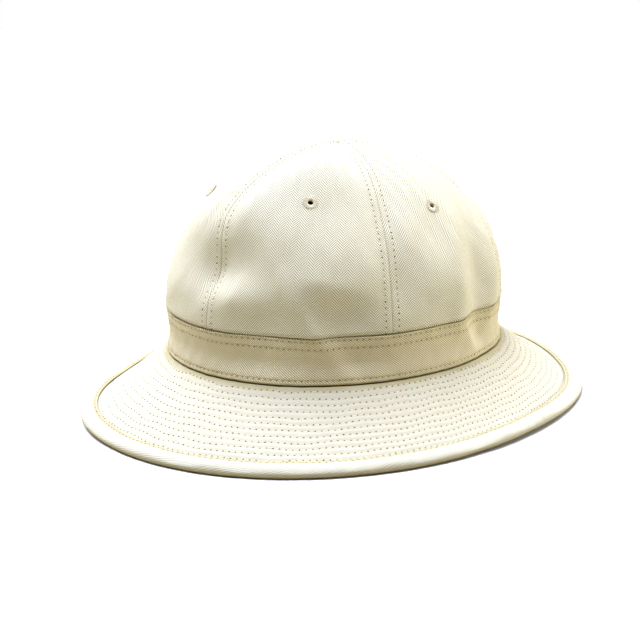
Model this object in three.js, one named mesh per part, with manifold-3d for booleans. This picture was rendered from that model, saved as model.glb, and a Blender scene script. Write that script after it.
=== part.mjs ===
// Fatigue hat: a six-panel crown of cotton twill with a stitched eyelet in each panel, a plain band
// round its foot, and a sloping quilted brim with a padded, bound edge.
//
// Millimetres, +Z up, the front of the hat towards -Y. The origin lies under the middle of the brim,
// on the surface that the hat rests on. Angles are in degrees from the front, counter-clockwise as
// seen from above.
import * as THREE from 'three';
import { mergeVertices } from 'three/addons/utils/BufferGeometryUtils.js';
import Module from 'manifold-3d';

// ---------------------------------------------------------------- driving dimensions

// Half sizes of the two ovals that set the plan: x is half the width, y is half the length.
const HEAD_OVAL = { x: 90.4, y: 98.5 }; // outside of the band where it meets the brim
const EDGE_OVAL = { x: 133.2, y: 150.7 }; // outermost line of the brim
const HEADLINE = 29.0; // height of the joint between the crown and the brim
const SEGMENTS = 72; // steps round the hat, shared by every ring
const GAP = 0.3; // clearance between two sewn pieces

const CROWN = {
  seams: [-1.5, 60, 120, 180, 240, 300, 358.5], // angles of the seams; the last closes the round
  wall: 1.5,
  swell: 1.005, // girth just over the band, as a share of the head oval
  rise: 86.0, // from the top of the band to the crown's top
  roundness: 0.83, // below 1 the dome is fuller than an ellipse
  lean: 3.6, // the top lies this far behind the middle
  tip: 1.2, // radius where the panels' points are sewn together
  columns: 12,
  domeRows: 13,
};
const PANELS = CROWN.seams.length - 1;
const SEAM = { dip: 1.7, reach: 9.0, puff: 1.1, fade: 25.0 }; // valley along a seam, swell between
const BAND = { height: 24.6, wall: 1.3, rows: 3 };
const TUCK = { depth: BAND.wall + GAP, fade: 1.1 }; // the crown is drawn in behind the band
const BRIM = { thickness: 2.4, sag: 0.8, rows: 3, collar: 3.6, undercut: 0.6 };
const EYELET = { bore: 1.3, hole: 2.9, ring: 4.0, rim: 0.55, slope: 0.5, lift: 0.2, sides: 12 };
const DRILL_LENGTH = 12.0; // reaches through the curved cloth on both sides
const EYELET_PLACES = [ // one in each panel in turn
  { angle: 32, height: 115 },
  { angle: 84, height: 111 },
  { angle: 150, height: 111 },
  { angle: 210, height: 111 },
  { angle: 270, height: 111 },
  { angle: 330, height: 116 },
];

// The binding's section: how far each corner lies inside the outermost line, and its height.
// It runs from the fold on top, round the edge, along the flat underside to the fold below.
const BINDING = [
  { at: 'upper fold', inset: 9.6, height: 6.1 },
  { at: 'stitch groove', inset: 8.2, height: 5.8 },
  { at: 'padded top', inset: 5.0, height: 6.4 },
  { at: 'upper shoulder', inset: 1.2, height: 5.0 },
  { at: 'outermost line', inset: 0.0, height: 3.0 },
  { at: 'lower shoulder', inset: 0.6, height: 1.2 },
  { at: 'rest, outer side', inset: 2.2, height: 0.0 },
  { at: 'rest, inner side', inset: 6.2, height: 0.0 },
  { at: 'lower fold', inset: 9.6, height: 1.0 },
];

// The brim's flat end inside the binding: its upper and lower faces.
const BRIM_END = [
  { at: 'mouth of the binding', inset: 9.6, top: 4.6, bottom: 2.4 },
  { at: 'end in the binding', inset: 2.4, top: 4.0, bottom: 2.0 },
];

// Dents and folds of the worn cloth. Each is a smooth hollow (push below 0) or swell (push above 0)
// in millimetres, with its middle at an angle and a height, and half sizes across and along. The
// turn leans its long axis from upright towards larger angles, in degrees.
const FOLDS = [
  { name: 'front shoulder', angle: 4, height: 109, across: 28, along: 12, turn: 0, push: 6.5 },
  { name: 'front top', angle: 36, height: 128, across: 30, along: 8, turn: 0, push: 5.2 },
  { name: 'front dimple', angle: 2, height: 86, across: 22, along: 10, turn: 0, push: -4.8 },
  { name: 'shelf under the dimple', angle: 5, height: 71, across: 18, along: 6, turn: 0, push: 2.2 },
  { name: 'front overhang', angle: 36, height: 86, across: 34, along: 14, turn: 0, push: 2.4 },
  { name: 'hollow over the band', angle: 19, height: 61, across: 12, along: 9, turn: 0, push: -2.6 },
  { name: 'second hollow', angle: 45, height: 63, across: 12, along: 9, turn: 0, push: -3.0 },
  { name: 'slanting ridge', angle: 35.5, height: 57, across: 5, along: 24, turn: -34, push: 1.6 },
  { name: 'hollow on the band', angle: 13, height: 38, across: 17, along: 7, turn: 0, push: -1.3 },
  { name: 'second hollow on the band', angle: 48, height: 40, across: 10, along: 7, turn: 0, push: -1.3 },
  { name: 'side fold', angle: 98, height: 74, across: 7, along: 21, turn: 8, push: -5.0 },
  { name: 'ridge before the fold', angle: 86, height: 70, across: 5, along: 20, turn: 4, push: 1.6 },
  { name: 'ridge behind the fold', angle: 109, height: 72, across: 5, along: 18, turn: 16, push: 2.0 },
  { name: 'left hollow', angle: -56, height: 87, across: 28, along: 16, turn: 0, push: -2.4 },
  { name: 'left shoulder', angle: -70, height: 126, across: 30, along: 6, turn: 0, push: 1.4 },
  { name: 'left top flat', angle: -95, height: 136, across: 30, along: 2.5, turn: 0, push: -1.6 },
  { name: 'right shoulder hollow', angle: 141, height: 113, across: 26, along: 9, turn: 0, push: -3.6 },
  { name: 'back dimple', angle: 186, height: 84, across: 20, along: 12, turn: 0, push: -2.4 },
  { name: 'back left wave', angle: 242, height: 72, across: 9, along: 20, turn: -10, push: -1.8 },
];

const WAIST = { depth: 1.3, height: 39.0, reach: 8.0 }; // hollow all round the band
const FOLD_FADE = { foot: 12.0, top: 5.0 }; // the folds die out over these heights at both ends

// Places where the worn brim's edge leaves its oval: an angle, how far the place reaches to each
// side in degrees, and how far the edge moves out.
const EDGE_WAVES = [
  { name: 'left front', angle: -24, width: 13, push: 1.4 },
  { name: 'left side', angle: -63, width: 16, push: -4.0 },
  { name: 'right side', angle: 114, width: 15, push: 1.4 },
  { name: 'back right', angle: 146, width: 16, push: -1.8 },
];

// Places where the brim's edge is lifted off the rest surface; elsewhere the hat stands on it.
const EDGE_LIFTS = [
  { name: 'left front', angle: -32, width: 15, push: 1.6 },
  { name: 'right front', angle: 89, width: 18, push: 1.5 },
];

// ---------------------------------------------------------------- placing points

const radians = THREE.MathUtils.degToRad;

/** Mean radius of the head oval, which turns an angle into a length along the cloth. */
const MEAN_RADIUS = (HEAD_OVAL.x + HEAD_OVAL.y) / 2;

/** A point of an oval with half sizes `oval`, moved out by `offset`, at an angle and a height. */
function ovalPoint(oval, offset, angle, height) {
  const turn = radians(angle);
  const x = (oval.x + offset) * Math.sin(turn);
  const y = -(oval.y + offset) * Math.cos(turn);
  return new THREE.Vector3(x, y, height);
}

/** Shortest turn from one angle to another, in degrees. */
function turnBetween(from, to) {
  return THREE.MathUtils.euclideanModulo(to - from + 180, 360) - 180;
}

/** How far a table of waves moves the brim's edge at an angle. */
function wavePush(waves, angle) {
  let push = 0;
  for (const wave of waves) {
    push += wave.push * Math.exp(-((turnBetween(wave.angle, angle) / wave.width) ** 2));
  }
  return push;
}

/** A point `inset` inside the brim's outermost line. */
function edgePoint(inset, angle, height) {
  const lift = wavePush(EDGE_LIFTS, angle);
  return ovalPoint(EDGE_OVAL, wavePush(EDGE_WAVES, angle) - inset, angle, height + lift);
}

/** Smooth step from 0 at `from` to 1 at `to`. */
function ease(value, from, to) {
  return THREE.MathUtils.smoothstep(value, from, to);
}

// ---------------------------------------------------------------- crown surface

const BAND_TOP = HEADLINE + BAND.height;

/** Half of the crown's upright section, from the headline to the top: radius and height. */
function crownMeridian() {
  const outline = [];
  for (let row = 0; row <= BAND.rows; row += 1) {
    const share = row / BAND.rows;
    outline.push(new THREE.Vector2(MEAN_RADIUS, HEADLINE + GAP + (BAND.height - GAP) * share));
  }
  for (let row = 1; row <= CROWN.domeRows; row += 1) {
    const turn = (Math.PI / 2) * (row / CROWN.domeRows);
    const radius = CROWN.swell * MEAN_RADIUS * Math.cos(turn) ** CROWN.roundness;
    outline.push(new THREE.Vector2(Math.max(radius, CROWN.tip), BAND_TOP + CROWN.rise * Math.sin(turn)));
  }
  return outline;
}

const MERIDIAN = crownMeridian();
const STEP = 0.5; // part of a row to each side, over which a slope is read

/** The point of the undented crown at an angle and a row of its section, which may be fractional. */
function crownBase(angle, row) {
  const lower = Math.min(Math.floor(row), MERIDIAN.length - 2);
  const place = MERIDIAN[lower].clone().lerp(MERIDIAN[lower + 1], row - lower);
  const share = place.x / MEAN_RADIUS;
  const point = ovalPoint({ x: HEAD_OVAL.x * share, y: HEAD_OVAL.y * share }, 0, angle, place.y);
  point.y += CROWN.lean * Math.max(0, (place.y - BAND_TOP) / CROWN.rise);
  return point;
}

/** The outward normal of the undented crown, which is level behind the band. */
function crownNormal(angle, row) {
  if (row <= BAND.rows) {
    return ovalPoint({ x: 0, y: 0 }, 1, angle, 0);
  }
  const below = row - STEP;
  const above = Math.min(row + STEP, MERIDIAN.length - 1);
  const round = crownBase(angle + 1, row).sub(crownBase(angle - 1, row));
  const up = crownBase(angle, above).sub(crownBase(angle, below));
  return round.cross(up).normalize();
}

/** How far the dents and folds push the cloth out at an angle and a height. */
function foldPush(angle, height) {
  let push = 0;
  for (const fold of FOLDS) {
    const sideways = radians(turnBetween(fold.angle, angle)) * MEAN_RADIUS;
    const upwards = height - fold.height;
    const turn = radians(fold.turn);
    const across = (sideways * Math.cos(turn) - upwards * Math.sin(turn)) / fold.across;
    const along = (sideways * Math.sin(turn) + upwards * Math.cos(turn)) / fold.along;
    push += fold.push * Math.exp(-(across ** 2 + along ** 2) / 2);
  }
  push -= WAIST.depth * Math.exp(-(((height - WAIST.height) / WAIST.reach) ** 2));
  const low = ease(height, HEADLINE, HEADLINE + FOLD_FADE.foot);
  return push * low * ease(BAND_TOP + CROWN.rise - height, 0, FOLD_FADE.top);
}

/** How far the seams and the swell between them push the cloth out. */
function seamPush(angle, height, radius) {
  const toSeam = Math.min(...CROWN.seams.map((seam) => Math.abs(turnBetween(seam, angle))));
  const distance = radians(toSeam) * radius;
  const valley = -SEAM.dip * Math.exp(-((distance / SEAM.reach) ** 2));
  const swell = SEAM.puff * Math.sin((PANELS / 2) * radians(toSeam)) ** 2;
  return (valley + swell) * ease(height, BAND_TOP, BAND_TOP + SEAM.fade);
}

/** A point of the finished crown, `depth` inside its outer face. */
function crownPoint(angle, row, depth) {
  const base = crownBase(angle, row);
  const radius = Math.hypot(base.x, base.y - CROWN.lean);
  const tuck = TUCK.depth * (1 - ease(base.z, BAND_TOP, BAND_TOP + TUCK.fade));
  const push = foldPush(angle, base.z) + seamPush(angle, base.z, radius) - tuck - depth;
  return base.addScaledVector(crownNormal(angle, row), push);
}

// ---------------------------------------------------------------- making solids

/** Adds two triangles over the corners a, b, c, d, which run counter-clockwise seen from outside. */
function addQuad(index, a, b, c, d) {
  index.push(a, b, c, a, c, d);
}

/** A closed mesh from its points and its triangles' corners. */
function meshGeometry(points, index) {
  const geometry = new THREE.BufferGeometry().setFromPoints(points);
  geometry.setIndex(index);
  geometry.computeVertexNormals();
  return geometry;
}

/** A closed ring: `sectionAt(angle)` gives its section's corners, clockwise seen along the ring. */
function ringGeometry(sectionAt) {
  const points = [];
  for (let step = 0; step < SEGMENTS; step += 1) {
    points.push(...sectionAt((360 * step) / SEGMENTS));
  }
  const corners = points.length / SEGMENTS;
  const index = [];
  for (let step = 0; step < SEGMENTS; step += 1) {
    const here = step * corners;
    const next = ((step + 1) % SEGMENTS) * corners;
    for (let corner = 0; corner < corners; corner += 1) {
      const following = (corner + 1) % corners;
      addQuad(index, here + corner, here + following, next + following, next + corner);
    }
  }
  return meshGeometry(points, index);
}

/** A curved sheet with a wall: `pointAt(column, row, side)` gives both faces, outer side first. */
function shellGeometry(columns, rows, pointAt) {
  const points = [];
  const number = (column, row, side) => (row * (columns + 1) + column) * 2 + side;
  for (let row = 0; row <= rows; row += 1) {
    for (let column = 0; column <= columns; column += 1) {
      points.push(pointAt(column, row, 0), pointAt(column, row, 1));
    }
  }
  const index = [];
  for (let row = 0; row < rows; row += 1) {
    for (let column = 0; column < columns; column += 1) {
      const corners = [[column, row], [column + 1, row], [column + 1, row + 1], [column, row + 1]];
      addQuad(index, ...corners.map(([c, r]) => number(c, r, 0)));
      addQuad(index, ...corners.map(([c, r]) => number(c, r, 1)).reverse());
    }
    addQuad(index, number(0, row, 1), number(0, row, 0), number(0, row + 1, 0), number(0, row + 1, 1));
    const last = columns;
    addQuad(
      index,
      number(last, row, 0),
      number(last, row, 1),
      number(last, row + 1, 1),
      number(last, row + 1, 0),
    );
  }
  for (let column = 0; column < columns; column += 1) {
    const next = column + 1;
    addQuad(index, number(column, 0, 1), number(next, 0, 1), number(next, 0, 0), number(column, 0, 0));
    addQuad(
      index,
      number(column, rows, 0),
      number(next, rows, 0),
      number(next, rows, 1),
      number(column, rows, 1),
    );
  }
  return meshGeometry(points, index);
}

const wasm = await Module();
wasm.setup();

/** A solid for the boolean cut, from a closed geometry. */
function toSolid(geometry) {
  const bare = geometry.clone();
  bare.deleteAttribute('normal');
  bare.deleteAttribute('uv');
  const merged = mergeVertices(bare, 1e-4);
  return new wasm.Manifold(new wasm.Mesh({
    numProp: 3,
    vertProperties: new Float32Array(merged.attributes.position.array),
    triVerts: new Uint32Array(merged.index.array),
  }));
}

/** A three.js geometry from a cut solid. */
function fromSolid(solid) {
  const mesh = solid.getMesh();
  const geometry = new THREE.BufferGeometry();
  geometry.setAttribute('position', new THREE.BufferAttribute(mesh.vertProperties, 3));
  geometry.setIndex(new THREE.BufferAttribute(mesh.triVerts, 1));
  geometry.computeVertexNormals();
  return geometry;
}

// ---------------------------------------------------------------- materials

const twill = new THREE.MeshStandardMaterial({ color: '#e9e4d3', roughness: 0.92, metalness: 0 });
const quilted = new THREE.MeshStandardMaterial({ color: '#efebdd', roughness: 0.92, metalness: 0 });
const bandTwill = new THREE.MeshStandardMaterial({ color: '#ddd6be', roughness: 0.92, metalness: 0 });
const thread = new THREE.MeshStandardMaterial({ color: '#d9cfae', roughness: 0.8, metalness: 0 });

/** A named mesh. */
function piece(name, geometry, material) {
  const mesh = new THREE.Mesh(geometry, material);
  mesh.name = name;
  return mesh;
}

// ---------------------------------------------------------------- pieces

const hat = new THREE.Group();

/** The row of the crown's section at a height over the band. */
function rowAtHeight(height) {
  const above = MERIDIAN.findIndex((place) => place.y > height);
  const below = MERIDIAN[above - 1];
  return above - 1 + (height - below.y) / (MERIDIAN[above].y - below.y);
}

/** The eyelet's place in a panel: its middle on the outer face, and the turn of its axis. */
function eyeletPlace(panel) {
  const { angle, height } = EYELET_PLACES[panel];
  const row = rowAtHeight(height);
  const middle = crownPoint(angle, row, 0);
  const round = crownPoint(angle + 1, row, 0).sub(crownPoint(angle - 1, row, 0));
  const up = crownPoint(angle, row + STEP, 0).sub(crownPoint(angle, row - STEP, 0));
  const axis = round.cross(up).normalize();
  const rotation = new THREE.Quaternion().setFromUnitVectors(new THREE.Vector3(0, 1, 0), axis);
  return { middle, rotation };
}

/** One crown panel with the hole for its eyelet. */
function crownPanel(panel) {
  const rows = MERIDIAN.length - 1;
  const geometry = shellGeometry(CROWN.columns, rows, (column, row, side) => {
    const margin = THREE.MathUtils.radToDeg(Math.asin(GAP / 2 / MERIDIAN[row].x));
    const share = column / CROWN.columns;
    const first = CROWN.seams[panel] + margin;
    const last = CROWN.seams[panel + 1] - margin;
    return crownPoint(first + (last - first) * share, row, side * CROWN.wall);
  });
  const { middle, rotation } = eyeletPlace(panel);
  const drill = new THREE.CylinderGeometry(EYELET.hole, EYELET.hole, DRILL_LENGTH, EYELET.sides);
  drill.applyQuaternion(rotation);
  drill.translate(middle.x, middle.y, middle.z);
  return fromSolid(toSolid(geometry).subtract(toSolid(drill)));
}

/** A ring of thread round the hole, with a rim on both faces of the cloth. */
function eyeletGeometry() {
  const waist = EYELET.hole - GAP;
  const inside = -CROWN.wall - GAP;
  const profile = [
    new THREE.Vector2(EYELET.bore, inside - EYELET.rim),
    new THREE.Vector2(EYELET.ring - EYELET.slope, inside - EYELET.rim),
    new THREE.Vector2(EYELET.ring - EYELET.slope, inside - EYELET.lift),
    new THREE.Vector2(waist, inside),
    new THREE.Vector2(waist, GAP),
    new THREE.Vector2(EYELET.ring, GAP + EYELET.lift),
    new THREE.Vector2(EYELET.ring - EYELET.slope, GAP + EYELET.rim),
    new THREE.Vector2(EYELET.bore, GAP + EYELET.rim),
  ];
  return new THREE.LatheGeometry([...profile, profile[0]], EYELET.sides);
}

for (let panel = 0; panel < PANELS; panel += 1) {
  hat.add(piece(`crown_panel_${panel + 1}`, crownPanel(panel), twill));
  const eyelet = piece(`eyelet_${panel + 1}`, eyeletGeometry(), thread);
  const { middle, rotation } = eyeletPlace(panel);
  eyelet.position.copy(middle);
  eyelet.quaternion.copy(rotation);
  hat.add(eyelet);
}

/** The band's section: down its outer face, then up its inner face. */
function bandSection(angle) {
  const heights = [];
  for (let row = 0; row <= BAND.rows; row += 1) {
    heights.push(HEADLINE + GAP + ((BAND.height - GAP) * row) / BAND.rows);
  }
  const outer = heights.map((height) => ovalPoint(HEAD_OVAL, foldPush(angle, height), angle, height));
  const inner = heights.map((height) => (
    ovalPoint(HEAD_OVAL, foldPush(angle, height) - BAND.wall, angle, height)
  ));
  return [...outer.reverse(), ...inner];
}

hat.add(piece('hat_band', ringGeometry(bandSection), bandTwill));

/** The brim's section: its upper face from the headline outwards, then its lower face back. */
function brimSection(angle) {
  const [mouth, end] = BRIM_END;
  const top = [ovalPoint(HEAD_OVAL, -BRIM.collar, angle, HEADLINE)];
  const bottom = [ovalPoint(HEAD_OVAL, -BRIM.collar, angle, HEADLINE - BRIM.thickness)];
  for (let row = 0; row <= BRIM.rows; row += 1) {
    const share = row / BRIM.rows;
    const sag = BRIM.sag * 4 * share * (1 - share);
    const upper = ovalPoint(HEAD_OVAL, GAP, angle, HEADLINE);
    upper.lerp(edgePoint(mouth.inset, angle, mouth.top), share);
    upper.z -= sag;
    const lower = ovalPoint(HEAD_OVAL, GAP - BRIM.undercut, angle, HEADLINE - BRIM.thickness);
    lower.lerp(edgePoint(mouth.inset, angle, mouth.bottom), share);
    lower.z -= sag;
    top.push(upper);
    bottom.push(lower);
  }
  top.push(edgePoint(end.inset, angle, end.top));
  bottom.push(edgePoint(end.inset, angle, end.bottom));
  return [...top, ...bottom.reverse()];
}

hat.add(piece('brim', ringGeometry(brimSection), quilted));

/** The binding's section: round its outside, then round the slot that holds the brim's end. */
function bindingSection(angle) {
  const [mouth, end] = BRIM_END;
  const outside = BINDING.map(({ inset, height }) => edgePoint(inset, angle, height));
  const slot = [
    edgePoint(mouth.inset, angle, mouth.bottom - GAP),
    edgePoint(end.inset - GAP, angle, end.bottom - GAP),
    edgePoint(end.inset - GAP, angle, end.top + GAP),
    edgePoint(mouth.inset, angle, mouth.top + GAP),
  ];
  return [...outside, ...slot];
}

hat.add(piece('brim_edge', ringGeometry(bindingSection), quilted));

export default hat;
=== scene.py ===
"""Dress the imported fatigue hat: twill cloth, quilting, stitch rows and eyelets over its frame."""
import logging
import math
from dataclasses import dataclass
from enum import Enum
from functools import cached_property
from typing import Any, Callable

import bpy
import numpy as np
from mathutils import Matrix, Vector


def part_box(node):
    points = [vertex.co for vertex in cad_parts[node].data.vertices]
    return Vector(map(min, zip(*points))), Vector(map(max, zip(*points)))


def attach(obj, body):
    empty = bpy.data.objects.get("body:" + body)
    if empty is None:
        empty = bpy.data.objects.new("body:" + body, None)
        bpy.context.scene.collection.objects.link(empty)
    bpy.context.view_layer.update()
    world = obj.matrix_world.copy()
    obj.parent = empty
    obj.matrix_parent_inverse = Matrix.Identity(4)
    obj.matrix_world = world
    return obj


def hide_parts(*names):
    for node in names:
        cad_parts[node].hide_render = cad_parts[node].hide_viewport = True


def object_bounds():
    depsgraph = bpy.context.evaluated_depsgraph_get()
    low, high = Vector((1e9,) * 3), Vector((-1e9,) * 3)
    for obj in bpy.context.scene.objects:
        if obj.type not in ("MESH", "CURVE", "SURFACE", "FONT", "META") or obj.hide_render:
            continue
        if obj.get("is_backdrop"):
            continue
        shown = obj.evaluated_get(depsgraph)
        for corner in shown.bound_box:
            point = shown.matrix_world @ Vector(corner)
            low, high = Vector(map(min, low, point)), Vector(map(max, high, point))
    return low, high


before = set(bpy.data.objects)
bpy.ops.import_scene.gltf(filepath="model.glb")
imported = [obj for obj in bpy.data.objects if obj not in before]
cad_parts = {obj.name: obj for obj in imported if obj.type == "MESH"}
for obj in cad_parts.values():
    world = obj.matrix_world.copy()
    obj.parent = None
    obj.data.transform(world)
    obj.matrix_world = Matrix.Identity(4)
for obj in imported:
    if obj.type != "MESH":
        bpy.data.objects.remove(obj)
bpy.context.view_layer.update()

MM = 0.001
LOG = logging.getLogger("fatigue_hat")
Array = np.ndarray
Surface = Callable[[Array, Array], Array]


# ---------------------------------------------------------------- small helpers


def ease(value: Array | float, start: float, end: float) -> Array:
    """Step smoothly from 0 at start to 1 at end.

    Args:
        value: Where to read the step.
        start: Value at which it begins to rise.
        end: Value at which it is full.

    Returns:
        The step's height, of the same shape as value.
    """
    share = np.clip((np.asarray(value, dtype=float) - start) / (end - start), 0.0, 1.0)
    return share * share * (3.0 - 2.0 * share)


def bell(distance: Array | float, width: float) -> Array:
    """Return a smooth bump of height 1 that falls off over width."""
    return np.exp(-((np.asarray(distance, dtype=float) / width) ** 2))


def turn_between(start: Array | float, end: Array | float) -> Array:
    """Return the shortest turn from one angle to another, in degrees."""
    return np.mod(np.asarray(end, dtype=float) - start + 180.0, 360.0) - 180.0


def unit(vectors: Array) -> Array:
    """Return the vectors scaled to length 1."""
    length = np.linalg.norm(vectors, axis=-1, keepdims=True)
    return vectors / np.maximum(length, 1e-9)


def stacked(*parts: Array | float) -> Array:
    """Return coordinates as points, with the parts on a last axis."""
    return np.stack(np.broadcast_arrays(*parts), axis=-1)


def all_round(count: int) -> Array:
    """Return evenly spaced angles round the hat in degrees, as a column."""
    return np.linspace(0.0, 360.0, count, endpoint=False)[:, None]


def lengths_along(points: Array) -> Array:
    """Return the length along a line of points from its start to each of them."""
    steps = np.linalg.norm(np.diff(points, axis=0), axis=-1)
    return np.concatenate([[0.0], np.cumsum(steps)])


def add_to_scene(name: str, data: bpy.types.ID) -> bpy.types.Object:
    """Make an object and put it in the scene.

    Args:
        name: Name of the new object.
        data: Its mesh, light or camera.

    Returns:
        The new object.
    """
    thing = bpy.data.objects.new(name, data)
    bpy.context.scene.collection.objects.link(thing)
    return thing


def linear_colour(code: str) -> tuple[float, float, float, float]:
    """Turn an sRGB hex colour into Blender's linear colour.

    Args:
        code: Six hex digits after a hash sign.

    Returns:
        Red, green, blue and an alpha of 1.
    """
    parts = [int(code[place : place + 2], 16) / 255.0 for place in (1, 3, 5)]
    red, green, blue = (
        part / 12.92 if part <= 0.04045 else ((part + 0.055) / 1.055) ** 2.4 for part in parts
    )
    return red, green, blue, 1.0


# ---------------------------------------------------------------- the hat's form


@dataclass(frozen=True)
class Fold:
    """One soft dent or swell of the worn cloth, in degrees and millimetres.

    Its middle lies at an angle from the front and a height over the rest surface. The turn
    leans its long axis from upright towards larger angles. A push below 0 is a hollow.
    """

    name: str
    angle: float
    height: float
    across: float
    along: float
    turn: float
    push: float


FOLDS = (
    Fold("front shoulder", 4, 109, 28, 12, 0, 6.5),
    Fold("front top", 36, 128, 30, 8, 0, 5.2),
    Fold("front dimple", 2, 86, 22, 10, 0, -4.8),
    Fold("shelf under the dimple", 5, 71, 18, 6, 0, 2.2),
    Fold("front overhang", 36, 86, 34, 14, 0, 2.4),
    Fold("hollow over the band", 19, 61, 12, 9, 0, -2.8),
    Fold("second hollow", 45, 63, 12, 9, 0, -3.4),
    Fold("lip over the second hollow", 41, 78, 13, 4, 12, 1.3),
    Fold("slanting ridge", 35.5, 57, 3.6, 25, -34, 2.0),
    Fold("hollow on the band", 15, 38, 17, 8, 0, -2.2),
    Fold("second hollow on the band", 48, 40, 10, 7, 0, -1.8),
    Fold("side fold", 98, 74, 7, 21, 8, -5.0),
    Fold("ridge before the fold", 86, 70, 4.5, 20, 4, 1.6),
    Fold("ridge behind the fold", 109, 72, 4.5, 18, 16, 2.2),
    Fold("crease across the band", 91.5, 41, 3.4, 10, -39, 2.2),
    Fold("hollow behind the band's crease", 99, 42, 5, 9, 0, -1.4),
    Fold("left hollow", -56, 87, 28, 16, 0, -2.4),
    Fold("left shoulder", -70, 126, 30, 6, 0, 1.4),
    Fold("left top flat", -95, 136, 30, 2.5, 0, -1.6),
    Fold("right shoulder hollow", 141, 113, 26, 9, 0, -3.6),
    Fold("back dimple", 186, 84, 20, 12, 0, -2.4),
    Fold("back left wave", 242, 72, 9, 20, -10, -1.8),
)


@dataclass(frozen=True)
class Oval:
    """An oval of the plan, with half its width along X and half its length along Y, in mm."""

    x: float
    y: float

    def at(self, angle: Array | float, height: Array | float, offset: Array | float = 0.0) -> Array:
        """Return points of the oval.

        Args:
            angle: Degrees from the front, counter-clockwise from above.
            height: Height over the rest surface.
            offset: How far the points lie outside the oval.

        Returns:
            The points in mm, with a last axis of 3.
        """
        turn = np.radians(angle)
        east = (self.x + offset) * np.sin(turn)
        north = -(self.y + offset) * np.cos(turn)
        return stacked(east, north, height)

    def girth_at(self, angle: Array) -> Array:
        """Return the length round the oval from the front to each angle, densely summed.

        Args:
            angle: Degrees from the front.

        Returns:
            The lengths in mm.
        """
        fine = np.linspace(0.0, 360.0, 3601)
        return np.interp(angle, fine, lengths_along(self.at(fine, 0.0)))

    def girths(self, count: int) -> Array:
        """Return the girth up to each of count even angles and to the full turn, as a column."""
        return self.girth_at(np.linspace(0.0, 360.0, count + 1))[:, None]


@dataclass(frozen=True)
class EdgeWave:
    """A place where the worn brim's edge leaves its oval: degrees, and millimetres out or up."""

    name: str
    angle: float
    width: float
    push: float


EDGE_WAVES = (
    EdgeWave("left front", -24, 13, 1.4),
    EdgeWave("left side", -63, 16, -4.0),
    EdgeWave("right side", 114, 15, 1.4),
    EdgeWave("back right", 146, 16, -1.8),
)

EDGE_LIFTS = (
    EdgeWave("left front", -32, 15, 1.6),
    EdgeWave("right front", 89, 18, 1.5),
)


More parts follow.
